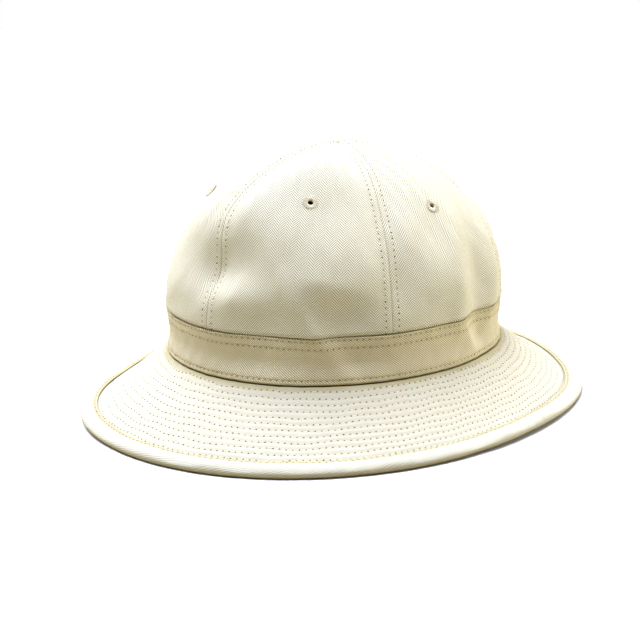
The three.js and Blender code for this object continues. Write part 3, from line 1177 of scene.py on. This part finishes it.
@dataclass
class Crown:
    """Six twill panels sewn together, drawn in behind the band at their foot. Sizes in mm."""

    form: HatForm
    relief_fade: tuple[float, float] = (1.0, 12.0)
    welt: float = 0.25
    welt_width: float = 4.3
    seam_depth: float = 0.4
    seam_width: float = 0.5
    row_offset: float = 3.4
    row_depth: float = 0.2
    row_width: float = 0.6
    pucker: float = 0.07
    pucker_reach: float = 7.5
    pucker_pitch: float = 8.5
    end_radius: float = 0.12
    seam_start: float = 0.8
    seam_stop: float = 8.0
    rows: int = 106
    near_columns: tuple[float, ...] = (
        0.05, 0.35, 0.7, 1.1, 1.7, 2.3, 2.8, 3.15, 3.4, 3.65, 4.0, 4.5, 5.2, 6.2, 7.5, 9.0,
    )
    middle_columns: int = 34
    near_scale: float = 24.0
    stitch_pitch: float = 3.15
    drape: Unevenness = Unevenness(seed=11, turns=(5, 16), lengths=(36.0, 90.0), height=0.32)
    crease: Unevenness = Unevenness(seed=12, turns=(26, 60), lengths=(14.0, 40.0), height=0.07)

    def relief(self, angle: Array, arc: Array) -> Array:
        """Return the fine relief: seams, stitch rows, puckers and soft creases.

        Args:
            angle: Degrees from the front.
            arc: Millimetres up the crown from its foot.

        Returns:
            Millimetres outwards.
        """
        form = self.form
        distance = np.radians(form.to_seam(angle)) * form.radius_at(arc)
        height = form.height_at(arc)
        above = ease(height - form.band_top, *self.relief_fade)
        seam = self.welt * (1.0 - ease(distance, self.welt_width - 0.5, self.welt_width + 0.4))
        seam = seam - self.seam_depth * bell(distance, self.seam_width)
        seam = seam - self.row_depth * bell(distance - self.row_offset, self.row_width)
        # The puckers of one seam are out of step with those of the next.
        ripple = np.sin(2.0 * math.pi * arc / self.pucker_pitch + np.round(angle / 30.0))
        ripple = ripple * self.pucker * bell(distance - self.row_offset, self.pucker_reach / 2.0)
        soft = self.drape.at(angle, arc) + self.crease.at(angle, arc)
        wide = ease(form.radius_at(arc), 10.0, 50.0)
        return seam * ease(height - form.band_top, -2.0, 3.0) + (ripple + soft * wide) * above

    def surface(self, angle: Array, arc: Array) -> Array:
        """Return points of the crown's outer face with its fine relief."""
        return self.form.crown_point(angle, arc, self.relief(angle, arc))

    def columns(self, half: Array) -> Array:
        """Return where a panel's columns of points lie: close beside its seams, wider between.

        Args:
            half: Half the panel's width in mm at each row, as a column.

        Returns:
            Millimetres from the panel's first seam.
        """
        near = np.array(self.near_columns) * np.minimum(1.0, half / self.near_scale)
        last = near[:, -1:]
        rest = np.linspace(0.0, 1.0, self.middle_columns + 1)[1:]
        side = np.concatenate([near, last + (half - last) * rest], axis=1)
        return np.concatenate([side, (2.0 * half - side)[:, -2::-1]], axis=1)

    def panel(self, number: int) -> bpy.types.Object:
        """Make one panel as a closed shell.

        Args:
            number: Which panel, from 0 at the front, counter-clockwise from above.

        Returns:
            The panel, which has no hole for its eyelet yet.
        """
        form = self.form
        arc = np.linspace(0.0, form.arc_at_radius(self.end_radius), self.rows)[:, None]
        radius = form.radius_at(arc)
        start, end = form.panel_ends(number)
        half = np.radians((end - start) / 2.0) * radius
        across = self.columns(half)
        angle = start + np.degrees(across / radius)
        arcs = np.broadcast_to(arc, angle.shape)
        outer = self.surface(angle, arcs)
        inner = outer - form.crown_normal(angle, arcs) * form.wall
        cloth = stacked(across - half, arcs)
        distance = np.minimum(across, 2.0 * half - across)
        # Painted shade in each seam's valley, along the stitch rows beside it and where the crown
        # comes out from behind the band's top.
        painted_shade = 0.2 * bell(distance, 0.4) + 0.12 * bell(distance - self.row_offset, 0.8)
        painted_shade = painted_shade + 0.2 * bell(form.height_at(arcs) - form.band_top, 1.5)
        return ClothGrid(
            name=f"twill_panel_{number + 1}",
            points=np.concatenate([outer, inner[:, ::-1]], axis=1),
            cloth=np.concatenate([cloth, cloth[:, ::-1], cloth[:, :1]], axis=1),
            painted_shade=np.concatenate([painted_shade, painted_shade[:, ::-1]], axis=1),
            joined=False,
        ).build()

    def seam_runs(self) -> list[StitchRun]:
        """Return the two stitch rows beside each seam.

        Returns:
            The runs of stitches.
        """
        form = self.form
        first = form.arc_at_height(form.band_top + self.seam_start)
        arc = np.linspace(first, form.arc_at_radius(self.seam_stop), 300)
        swing = np.degrees(self.row_offset / form.radius_at(arc))
        return [
            StitchRun.follow(self.surface, seam + side * swing, arc, self.stitch_pitch)
            for seam in form.seams
            for side in (-1.0, 1.0)
        ]

    def make(self, finishes: Finishes, stitches: StitchWork, eyelets: "Eyelets") -> None:
        """Make the six panels and sew their seams.

        Args:
            finishes: The hat's materials.
            stitches: Sets the stitches.
            eyelets: Pierces each panel for its eyelet.
        """
        for number in range(len(self.form.seams)):
            panel = self.panel(number)
            eyelets.pierce(panel, number)
            hand_in(panel, "crown_twill", finishes.panel_twill, f"crown_panel_{number + 1}")
        stitches.sew("crown", self.seam_runs(), "crown_twill", finishes.sewing, seed=31)


@dataclass
class Eyelets:
    """Stitched air holes, one to a panel: thread wound round the edge of the hole.

    Each place is an angle from the front in degrees and a height. The wrap is how long the
    cloth's map runs once round the ring's section. Sizes are in mm.
    """

    crown: Crown
    places: tuple[tuple[float, float], ...] = (
        (32, 115), (84, 111), (150, 111), (210, 111), (270, 111), (330, 116),
    )
    bore: float = 1.3
    ring: float = 4.0
    hole: float = 2.9
    proud: float = 0.55
    core: tuple[float, float] = (2.6, -0.4)
    threads: int = 20
    thread_depth: float = 0.45
    wrap: float = 12.0
    around: int = 200
    drill_sides: int = 32

    def place(self, number: int) -> Matrix:
        """Return where an eyelet sits: its middle in mm, and the cloth's normal as its Z axis.

        Args:
            number: Which panel, from 0.

        Returns:
            The matrix from the eyelet's own axes to the hat's.
        """
        form = self.crown.form
        turn, height = self.places[number]
        angle, arc = np.array([float(turn)]), np.array([form.arc_at_height(height)])
        middle, axis = surface_path(self.crown.surface, angle, arc)
        up = Vector(axis[0])
        across = Vector((0.0, 0.0, 1.0)).cross(up).normalized()
        turned = Matrix((across, up.cross(across), up)).transposed()
        return Matrix.Translation(Vector(middle[0])) @ turned.to_4x4()

    def pierce(self, panel: bpy.types.Object, number: int) -> None:
        """Cut the round hole out of a panel.

        Args:
            panel: The panel to cut.
            number: Which panel, from 0.
        """
        place = self.place(number)
        reach = 4.0 * self.crown.form.wall
        turn = np.radians(all_round(self.drill_sides)[:, 0])
        circle = stacked(self.hole * np.cos(turn), self.hole * np.sin(turn))
        corners = [(*spot, end) for end in (-reach, reach) for spot in circle]
        count = self.drill_sides
        sides = [(i, (i + 1) % count, count + (i + 1) % count, count + i) for i in range(count)]
        faces = [*sides, tuple(range(count))[::-1], tuple(range(count, 2 * count))]
        mesh = bpy.data.meshes.new("drill")
        mesh.from_pydata([place @ Vector(corner) * MM for corner in corners], [], faces)
        drill = add_to_scene("drill", mesh)
        cut = panel.modifiers.new("eyelet hole", "BOOLEAN")
        cut.operation, cut.object, cut.solver = "DIFFERENCE", drill, "EXACT"
        made_plain(panel)
        bpy.data.objects.remove(drill)

    def section(self) -> Array:
        """Return the ring's closed section: distance from the axis and height.

        Returns:
            The points in mm.
        """
        inside = -self.crown.form.wall
        # Over the outer face into the bore, through it, and back along the inner face.
        outline = [
            (self.ring + 0.25, -0.05), (self.ring, 0.38), (self.ring - 0.7, self.proud),
            (2.8, self.proud + 0.1), (2.1, self.proud), (1.6, 0.35), (self.bore, -0.2),
            (self.bore, inside + 0.1), (1.7, inside - 0.5), (2.7, inside - 0.75),
            (self.ring - 0.6, inside - 0.55), (self.ring - 0.1, inside - 0.1),
            (3.1, inside + 0.2), (2.6, inside + 0.6), (2.6, -0.5), (3.1, -0.2),
        ]
        return smooth_loop(np.array(outline), 2)

    def make(self, finishes: Finishes) -> None:
        """Wind the six eyelets.

        Args:
            finishes: The hat's materials.
        """
        profile = self.section()
        turn = np.radians(all_round(self.around))
        ridge = np.abs(np.sin(turn * self.threads / 2.0))
        share = ease(profile[:, 0], self.bore, self.bore + 1.0)
        outward = unit(profile - np.array(self.core))
        bulge = self.thread_depth * (ridge - 1.0) * (0.4 + 0.6 * share)
        radius = profile[:, 0] + outward[:, 0] * bulge
        height = profile[:, 1] + outward[:, 1] * bulge
        local = stacked(radius * np.cos(turn), radius * np.sin(turn), height)
        girth = np.linspace(0.0, 2.0 * math.pi * self.ring, self.around + 1)[:, None]
        cloth = stacked(girth, np.linspace(0.0, self.wrap, len(profile) + 1))
        for number in range(len(self.crown.form.seams)):
            place = np.array(self.place(number))
            points = local @ place[:3, :3].T + place[:3, 3]
            name = f"eyelet_ring_{number + 1}"
            # Painted shade in the notches between the wound threads.
            painted_shade = (1.0 - ridge) ** 2 * ease(profile[:, 0], self.core[0], self.ring - 0.4)
            ring = ClothGrid(name, points, cloth, painted_shade).build()
            hand_in(ring, "eyelet_thread", finishes.eyelet_thread, f"eyelet_{number + 1}")


def smooth_loop(points: Array, steps: int) -> Array:
    """Round a closed outline off through its points.

    Args:
        points: The outline's points.
        steps: How many pieces each side is cut into.

    Returns:
        The smoothed outline.
    """
    before, after = np.roll(points, 1, axis=0), np.roll(points, -1, axis=0)
    beyond = np.roll(points, -2, axis=0)
    parts = []
    for share in np.arange(steps) / steps:
        a = -0.5 * share + share**2 - 0.5 * share**3
        b = 1.0 - 2.5 * share**2 + 1.5 * share**3
        c = 0.5 * share + 2.0 * share**2 - 1.5 * share**3
        d = -0.5 * share**2 + 0.5 * share**3
        parts.append(a * before + b * points + c * after + d * beyond)
    return np.stack(parts, axis=1).reshape(-1, points.shape[1])


# ---------------------------------------------------------------- band


@dataclass
class HatBand:
    """A plain band of twill round the crown's foot, folded at both edges. Sizes in mm."""

    form: HatForm
    stitch_rows: tuple[float, ...] = (-1.6, -5.7, 2.3)
    foot_gap: float = 0.6
    fold: float = 0.75
    row_depth: float = 0.34
    row_width: float = 0.55
    pucker: float = 0.07
    pucker_reach: float = 1.8
    puckers: int = 94
    top_roll: float = 0.22
    foot_roll: float = 0.16
    wave_share: float = 0.6
    edge_wander: float = 0.32
    around: int = 600
    stitch_pitch: float = 3.15
    wave: Unevenness = Unevenness(seed=21, turns=(4, 13), lengths=(60.0, 200.0), height=0.28)
    crease: Unevenness = Unevenness(seed=22, turns=(30, 75), lengths=(9.0, 30.0), height=0.10)

    @property
    def foot(self) -> float:
        """Height of the band's lower edge."""
        return self.form.headline + self.foot_gap

    def relief(self, angle: Array, height: Array) -> Array:
        """Return the fine relief: stitch rows, the edges' folds, puckers and creases.

        Args:
            angle: Degrees from the front.
            height: Height over the rest surface in mm.

        Returns:
            Millimetres outwards.
        """
        push = self.wave.at(angle, height) * self.wave_share + self.crease.at(angle, height)
        for row in self.row_heights():
            push = push - self.row_depth * bell(height - row, self.row_width)
            ripple = np.sin(np.radians(angle) * self.puckers + 1.7 * row)
            push = push + self.pucker * ripple * bell(height - row, self.pucker_reach)
        push = push + self.top_roll * bell(height - self.form.band_top + 0.7, 0.7)
        return push + self.foot_roll * bell(height - self.foot - 1.0, 0.9)

    def row_heights(self) -> tuple[float, ...]:
        """Return the heights of the stitch rows."""
        top = self.form.band_top
        return tuple(top + row if row < 0 else self.foot + row for row in self.stitch_rows)

    def surface(self, angle: Array, height: Array) -> Array:
        """Return points of the band's outer face."""
        push = self.form.fold_push(angle, height) + self.relief(angle, height)
        return self.form.head.at(angle, height, push)

    def section(self) -> Array:
        """Return the band's section: up its face, over the top fold, down the back, to the foot.

        Returns:
            How far each point lies behind the face, and its height, in mm.
        """
        wall, fold = self.form.band_wall, self.fold
        low, high = self.foot + fold, self.form.band_top - fold
        near = [row + step for row in self.row_heights() for step in (-1.1, -0.55, 0.0, 0.55, 1.1)]
        face = np.unique(np.round(np.concatenate([np.linspace(low, high, 12), near]), 2))
        face = face[(face >= low) & (face <= high)]
        turn = np.radians([12.0, 34.0, 56.0, 78.0, 90.0, 102.0, 124.0, 146.0, 168.0])
        deep, tall = wall / 2.0 * np.cos(turn), fold * np.sin(turn)
        return np.concatenate([
            stacked(0.0, face),
            stacked(wall / 2.0 - deep, high + tall),
            stacked(wall, np.linspace(high - fold, low + fold, 8)),
            stacked(wall / 2.0 + deep, low - tall),
        ])

    def make(self, finishes: Finishes, stitches: StitchWork) -> None:
        """Make the band and sew its rows.

        Args:
            finishes: The hat's materials.
            stitches: Sets the stitches.
        """
        form = self.form
        low, high = self.foot, form.band_top
        angle = all_round(self.around)
        depth, height = self.section().T
        lift = self.edge_wander * self.wave.at(angle, 0.0) * ease(height, low + 6.0, high)
        shown = 1.0 - depth / form.band_wall
        outer = form.fold_push(angle, height) + self.relief(angle, height) * shown
        points = form.head.at(angle, height + lift, outer - depth)
        cloth = stacked(form.head.girths(self.around), np.append(height, height[0]))
        # Painted shade along the stitch rows, in the gap between the band's foot and the brim, and
        # faintly along its top fold.
        painted_shade = sum(0.5 * bell(height - row, 0.8) for row in self.row_heights())
        painted_shade = painted_shade + 0.9 * bell(height - low, 0.9) + 0.1 * bell(height - high, 0.8)
        painted_shade = np.broadcast_to(painted_shade, points.shape[:2])
        band = ClothGrid("twill_band", points, cloth, painted_shade).build()
        hand_in(band, "band_twill", finishes.band_twill, "hat_band")
        path = np.linspace(0.0, 360.0, 1200)
        runs = [
            StitchRun.follow(self.surface, path, row, self.stitch_pitch)
            for row in self.row_heights()
        ]
        stitches.sew("band", runs, "band_twill", finishes.sewing, seed=41)


# ---------------------------------------------------------------- brim


@dataclass
class Brim:
    """The sloping brim: two layers of twill quilted together by rows of stitches. Sizes in mm.

    The span is the way across, from the headline to the mouth of the binding, and a place on
    it is a share from 0 to 1. The flare is the girth at half way over that of the headline.
    """

    form: HatForm
    thickness: float = 2.4
    span: float = 45.0
    flare: float = 1.2
    sag: float = 0.8
    under_inset: float = 0.6
    held: float = 0.15
    mouth_inset: float = 9.6
    mouth_top: float = 4.6
    mouth_bottom: float = 2.4
    end_inset: float = 2.4
    end_top: float = 4.0
    end_bottom: float = 2.0
    collar: float = 3.6
    stitch_rows: int = 12
    first_row: float = 0.055
    last_row: float = 0.965
    quilting: float = 0.3
    row_width: float = 1.0
    around: int = 400
    across: int = 84
    stitch_pitch: float = 3.2
    wave: Unevenness = Unevenness(seed=51, turns=(3, 9), lengths=(80.0, 300.0), height=0.35)
    crease: Unevenness = Unevenness(seed=52, turns=(40, 110), lengths=(7.0, 22.0), height=0.07)
    stray: Unevenness = Unevenness(seed=53, turns=(7, 38), lengths=(14.0, 60.0), height=0.3)

    def strayed(self, angle: Array, share: Array) -> Array:
        """Return a share of the way across as the rows, sewn by eye, see it."""
        return share + self.stray.at(angle, share * self.span) / self.span

    def row_shares(self) -> Array:
        """Return where the stitch rows lie, as shares of the way from headline to binding."""
        return np.linspace(self.first_row, self.last_row, self.stitch_rows)

    def face(self, angle: Array, share: Array, under: bool) -> Array:
        """Return points of the brim's upper or lower face.

        Args:
            angle: Degrees from the front.
            share: 0 at the headline, 1 at the mouth of the binding.
            under: Whether the lower face is meant.

        Returns:
            The points in mm.
        """
        form = self.form
        start = form.headline - (self.thickness if under else 0.0)
        inner = form.head.at(angle, start, form.gap - (self.under_inset if under else 0.0))
        outer = form.edge_at(
            angle, self.mouth_bottom if under else self.mouth_top, self.mouth_inset
        )
        share = np.asarray(share, dtype=float)
        points = inner + (outer - inner) * share[..., None]
        inside = ease(share, 0.0, self.held) * (1.0 - ease(share, 1.0 - self.held, 1.0))
        lift = self.relief(angle, share) * (-1.0 if under else 1.0)
        points[..., 2] -= self.sag * 4.0 * share * (1.0 - share)
        points[..., 2] += self.wave.at(angle, share * self.span) * inside + lift
        return points

    def relief(self, angle: Array, share: Array) -> Array:
        """Return the quilting: grooves along the rows and soft channels between them.

        Args:
            angle: Degrees from the front.
            share: 0 at the headline, 1 at the mouth of the binding.

        Returns:
            Millimetres outwards.
        """
        sewn = self.strayed(angle, share) * self.span
        groove = sum(bell(sewn - row * self.span, self.row_width) for row in self.row_shares())
        ripple = self.crease.at(angle, share * self.span)
        edge = ease(share, -0.02, 0.03) * (1.0 - ease(share, 0.98, 1.0))
        return (self.quilting * (0.5 - groove) + ripple) * edge

    def upper(self, angle: Array, along: Array) -> Array:
        """Return the upper face for a place in mm across the brim, measured inwards."""
        return self.face(angle, 1.0 - np.asarray(along) / self.span, False)

    def lower(self, angle: Array, along: Array) -> Array:
        """Return the lower face for a place in mm across the brim, measured outwards."""
        return self.face(angle, np.asarray(along) / self.span, True)

    def make(self, finishes: Finishes, stitches: StitchWork) -> None:
        """Make the brim and quilt it.

        Args:
            finishes: The hat's materials.
            stitches: Sets the stitches.
        """
        form = self.form
        angle, share = all_round(self.around), np.linspace(0.0, 1.0, self.across)
        angles, shares = np.broadcast_arrays(angle, share)
        inner_top = form.head.at(angle, form.headline, -self.collar)
        inner_low = form.head.at(angle, form.headline - self.thickness, -self.collar)
        end_top = form.edge_at(angle, self.end_top, self.end_inset)
        end_low = form.edge_at(angle, self.end_bottom, self.end_inset)
        top = self.face(angles, shares, False)
        low = self.face(angles, shares, True)[:, ::-1]
        points = np.concatenate([inner_top, top, end_top, end_low, low, inner_low], axis=1)
        inside, outside = -0.05, 1.1
        loop = np.array([inside, *share, outside, outside, *share[::-1], inside])
        across = np.append(loop, inside) * self.span
        cloth = stacked(form.head.girths(self.around) * self.flare, across)
        sewn = self.strayed(angle, loop) * self.span
        # Painted shade along the quilting rows and next to the headline, where the brim goes in
        # under the band.
        painted_shade = sum(0.25 * bell(sewn - row * self.span, 0.9) for row in self.row_shares())
        painted_shade = painted_shade + 0.9 * bell(loop * self.span, 2.2)
        brim = ClothGrid("quilted_brim", points, cloth, painted_shade).build()
        hand_in(brim, "brim_twill", finishes.brim_twill, "brim")
        path = np.linspace(0.0, 360.0, 1500)
        # A row's groove lies where strayed() gives the row's share: as far to its other side.
        rows = [2.0 * row - self.strayed(path, row) for row in self.row_shares()]
        for name, face, places, seed in (
            ("brim", self.upper, [1.0 - row for row in rows], 61),
            ("brim_underside", self.lower, rows, 71),
        ):
            runs = [StitchRun.follow(face, path, place * self.span, self.stitch_pitch)
                    for place in places]
            stitches.sew(name, runs, "brim_twill", finishes.sewing, seed)


@dataclass
class BrimBinding:
    """A padded strip of twill folded round the brim's edge; the hat stands on it. Sizes in mm.

    The outline runs from the mouth's upper lip over the edge and under it to the lower lip,
    each point with how far it lies inside the edge and its height.
    """

    form: HatForm
    outline: tuple[tuple[float, float], ...] = (
        (9.35, 4.7), (9.75, 5.1), (9.45, 5.65), (8.9, 5.75), (8.1, 5.6), (7.2, 5.65),
        (6.2, 5.8), (5.0, 5.85), (3.6, 5.65), (2.3, 5.2), (1.1, 4.45), (0.3, 3.6), (0.0, 2.75),
        (0.25, 1.7), (0.9, 0.75), (1.7, 0.2), (2.6, 0.0), (4.2, 0.0), (6.2, 0.0), (7.1, 0.35),
        (8.1, 0.95), (8.9, 0.85), (9.5, 0.95), (9.8, 1.4), (9.4, 1.9),
    )
    slot_side: tuple[tuple[float, float], ...] = ((2.1, 1.75), (2.1, 4.3))
    stitch_inset: float = 8.1
    pucker: float = 0.14
    pucker_inset: float = 6.9
    pucker_reach: float = 1.6
    groove: float = 0.15
    groove_width: float = 0.6
    around: int = 640
    stitch_pitch: float = 3.1
    steps: int = 2
    puff: Unevenness = Unevenness(seed=81, turns=(8, 30), lengths=(30.0, 90.0), height=0.22)
    crease: Unevenness = Unevenness(seed=82, turns=(60, 150), lengths=(9.0, 25.0), height=0.09)

    def shape(self, angle: Array, inset: Array, height: Array) -> Array:
        """Return points of the binding with its padding's unevenness and puckers.

        Args:
            angle: Degrees from the front.
            inset: How far inside the outermost line, in mm.
            height: Height over the rest surface in mm.

        Returns:
            The points in mm.
        """
        upper = ease(height, 2.6, 4.4)
        body = ease(self.stitch_inset - inset, 0.3, 3.0)
        push = (self.puff.at(angle, inset) + self.crease.at(angle, inset)) * (0.25 + 0.75 * body)
        turns = round(self.form.edge.girth_at(np.array([360.0]))[0] / self.stitch_pitch / 2.0)
        pucker = self.pucker * np.sin(turns * np.radians(angle))
        pucker = pucker * bell(inset - self.pucker_inset, self.pucker_reach)
        groove = self.groove * bell(inset - self.stitch_inset, self.groove_width)
        lift = (push + pucker - groove) * upper
        out = 0.5 * self.puff.at(angle, 3.0) * bell(inset, 2.2)
        points = self.form.edge_at(angle, height + lift, inset - np.minimum(out, 0.0))
        points[..., 2] = np.maximum(points[..., 2], 0.0)
        return points

    def upper(self, angle: Array, along: Array) -> Array:
        """Return the upper face near the stitch row, for a place in mm measured inwards."""
        inset = self.stitch_inset + np.asarray(along)
        return self.shape(angle, inset, np.interp(inset, *np.transpose(self.outline[5:2:-1])))

    def lower(self, angle: Array, along: Array) -> Array:
        """Return the lower face near the stitch row, for a place in mm measured outwards."""
        inset = self.stitch_inset - np.asarray(along)
        return self.shape(angle, inset, np.interp(inset, *np.transpose(self.outline[-6:-3])))

    def make(self, finishes: Finishes, stitches: StitchWork) -> None:
        """Make the binding and sew it on.

        Args:
            finishes: The hat's materials.
            stitches: Sets the stitches.
        """
        # The outline's last point only bends the lower lip. It and the closing side are left
        # off, and the corners of the slot that takes the brim close the section.
        smooth = smooth_loop(np.array(self.outline), self.steps)[: 1 - 2 * self.steps]
        section = np.concatenate([smooth, self.slot_side])
        inset, height = section.T
        angle = all_round(self.around)
        points = self.shape(angle, inset, height)
        slot = slice(-len(self.slot_side), None)
        points[:, slot] = self.form.edge_at(angle, height[slot], inset[slot])
        across = lengths_along(np.concatenate([section, section[:1]]))
        cloth = stacked(self.form.edge.girths(self.around), across)
        # Painted shade at the binding's lips, in its stitch groove and on its lower turn over the
        # table.
        painted_shade = 0.5 * bell(inset - 9.5, 0.6) + 0.8 * bell(inset - self.stitch_inset, 0.7)
        painted_shade = painted_shade + 0.75 * (1.0 - ease(height, 0.4, 2.8)) * bell(inset, 4.0)
        painted_shade = np.broadcast_to(painted_shade[None, :], points.shape[:2])
        binding = ClothGrid("brim_binding", points, cloth, painted_shade).build()
        hand_in(binding, "brim_twill", finishes.edge_twill, "brim_edge")
        path = np.linspace(0.0, 360.0, 2400)
        runs = [
            StitchRun.follow(face, path, 0.0, self.stitch_pitch)
            for face in (self.upper, self.lower)
        ]
        stitches.sew("binding", runs, "brim_twill", finishes.edging, seed=91)


# ---------------------------------------------------------------- studio


@dataclass(frozen=True)
class Softbox:
    """A soft area light: where it stands, how large it is in metres, and its power in watts."""

    name: str
    place: tuple[float, float, float]
    size: float
    power: float


@dataclass(frozen=True)
class Skylight:
    """A wide diffusing ceiling, a little cooler than the softboxes.

    Its tilt from straight down, the way it tilts and its spread are in degrees.
    """

    tilt: float = 8.0
    turn: float = -50.0
    spread: float = 50.0
    strength: float = 5.35
    tint: tuple[float, float, float] = (0.94, 1.0, 1.24)


@dataclass
class Studio:
    """A white table under a large soft light, with the camera in front and to the right.

    Places are in metres, and the camera's azimuth, elevation and roll in degrees.
    """

    reach: float = 6.0
    table_top: str = "#eeedeb"
    table_bounce: str = "#c8bfa4"
    target: tuple[float, float, float] = (0.0, 0.0, 0.070)
    azimuth: float = 40.16
    elevation: float = 12.56
    distance: float = 0.69904
    roll: float = 0.99
    lens: float = 69.92
    sensor: float = 36.0
    shift: tuple[float, float] = (-0.0231, -0.0868)
    softboxes: tuple[Softbox, ...] = (
        Softbox("left softbox", (-1.15, 0.1, 0.28), 0.8, 11.6),
        Softbox("right softbox", (0.9, 0.85, 0.3), 0.8, 13.2),
        Softbox("front softbox", (-0.1, -1.1, 0.2), 0.8, 2.0),
    )
    skylight: Skylight = Skylight()
    fill: float = 0.075
    # Below 1, so that the shades of the bright cloth come out deeper.
    gamma: float = 0.72

    def floor(self) -> None:
        """Lay the white table, which throws a warmer light back up than it shows."""
        mesh = bpy.data.meshes.new("table")
        reach, level = self.reach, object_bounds()[0][2] - 0.05 * MM
        corners = [(-reach, -reach), (reach, -reach), (reach, reach), (-reach, reach)]
        mesh.from_pydata([(x, y, level) for x, y in corners], [], [(0, 1, 2, 3)])
        table = add_to_scene("table", mesh)
        material, shader = new_material("white table top")
        tree = material.node_tree
        bounce = add_node(tree, "ShaderNodeLightPath")
        colour = add_node(tree, "ShaderNodeMix", {"data_type": "RGBA"}, {
            "Factor": bounce.outputs["Is Diffuse Ray"],
            "A": linear_colour(self.table_top),
            "B": linear_colour(self.table_bounce),
        })
        feed(shader, {
            "Base Color": colour.outputs["Result"], "Roughness": 0.9, "Specular IOR Level": 0.1,
        })
        mesh.materials.append(material)
        table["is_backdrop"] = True

    def world(self) -> None:
        """Surround the table with white, which lights the hat only weakly."""
        world = bpy.data.worlds.new("white surround")
        bpy.context.scene.world = world
        world.use_nodes = True
        tree = world.node_tree
        tree.nodes.clear()
        ray = add_node(tree, "ShaderNodeLightPath")
        strength = add_node(tree, "ShaderNodeMapRange", inputs={
            "Value": ray.outputs["Is Camera Ray"], "To Min": self.fill, "To Max": 1.0,
        })
        glow = add_node(tree, "ShaderNodeBackground", inputs={
            "Color": (1.0, 1.0, 1.0, 1.0), "Strength": strength.outputs["Result"],
        })
        add_node(tree, "ShaderNodeOutputWorld", inputs={"Surface": glow.outputs[0]})

    def lights(self) -> None:
        """Hang the skylight over the hat and the softboxes round it, each turned to it."""
        sky = bpy.data.lights.new("skylight", "SUN")
        sky.energy, sky.angle = self.skylight.strength, math.radians(self.skylight.spread)
        sky.color = self.skylight.tint
        ceiling = add_to_scene("skylight", sky)
        tilt, turn = math.radians(self.skylight.tilt), math.radians(self.skylight.turn)
        ceiling.rotation_euler = (tilt, 0.0, turn)
        for box in self.softboxes:
            data = bpy.data.lights.new(box.name, "AREA")
            data.shape, data.size, data.energy = "SQUARE", box.size, box.power
            lamp = add_to_scene(box.name, data)
            lamp.location = box.place
            aim = Vector(self.target) - Vector(box.place)
            lamp.rotation_euler = aim.to_track_quat("-Z", "Y").to_euler()

    def camera(self) -> None:
        """Set the camera on its side of the hat, a little over its top."""
        data = bpy.data.cameras.new("camera")
        data.lens, data.sensor_width = self.lens, self.sensor
        data.shift_x, data.shift_y = self.shift
        data.clip_start = 0.01
        camera = add_to_scene("camera", data)
        turn, lift = math.radians(self.azimuth), math.radians(self.elevation)
        back = Vector((
            math.sin(turn) * math.cos(lift), -math.cos(turn) * math.cos(lift), math.sin(lift)
        ))
        camera.location = Vector(self.target) + back * self.distance
        facing = (-back).to_track_quat("-Z", "Y").to_matrix()
        rolled = facing @ Matrix.Rotation(-math.radians(self.roll), 3, "Z")
        camera.rotation_euler = rolled.to_euler()
        bpy.context.scene.camera = camera

    def set_up(self) -> None:
        """Build the table, the surround, the lights and the camera."""
        self.camera()
        self.floor()
        self.world()
        self.lights()
        settings = bpy.context.scene.view_settings
        settings.view_transform = "Standard"
        settings.gamma = self.gamma


def main() -> None:
    """Set up the studio, then build the hat's pieces in order."""
    form = HatForm.from_frame()
    finishes = Finishes()
    stitches = StitchWork()
    Studio().set_up()
    crown = Crown(form)
    eyelets = Eyelets(crown)
    crown.make(finishes, stitches, eyelets)
    eyelets.make(finishes)
    HatBand(form).make(finishes, stitches)
    Brim(form).make(finishes, stitches)
    BrimBinding(form).make(finishes, stitches)


if __name__ == "__main__":
    logging.basicConfig(level=logging.INFO, format="%(message)s")
    main()
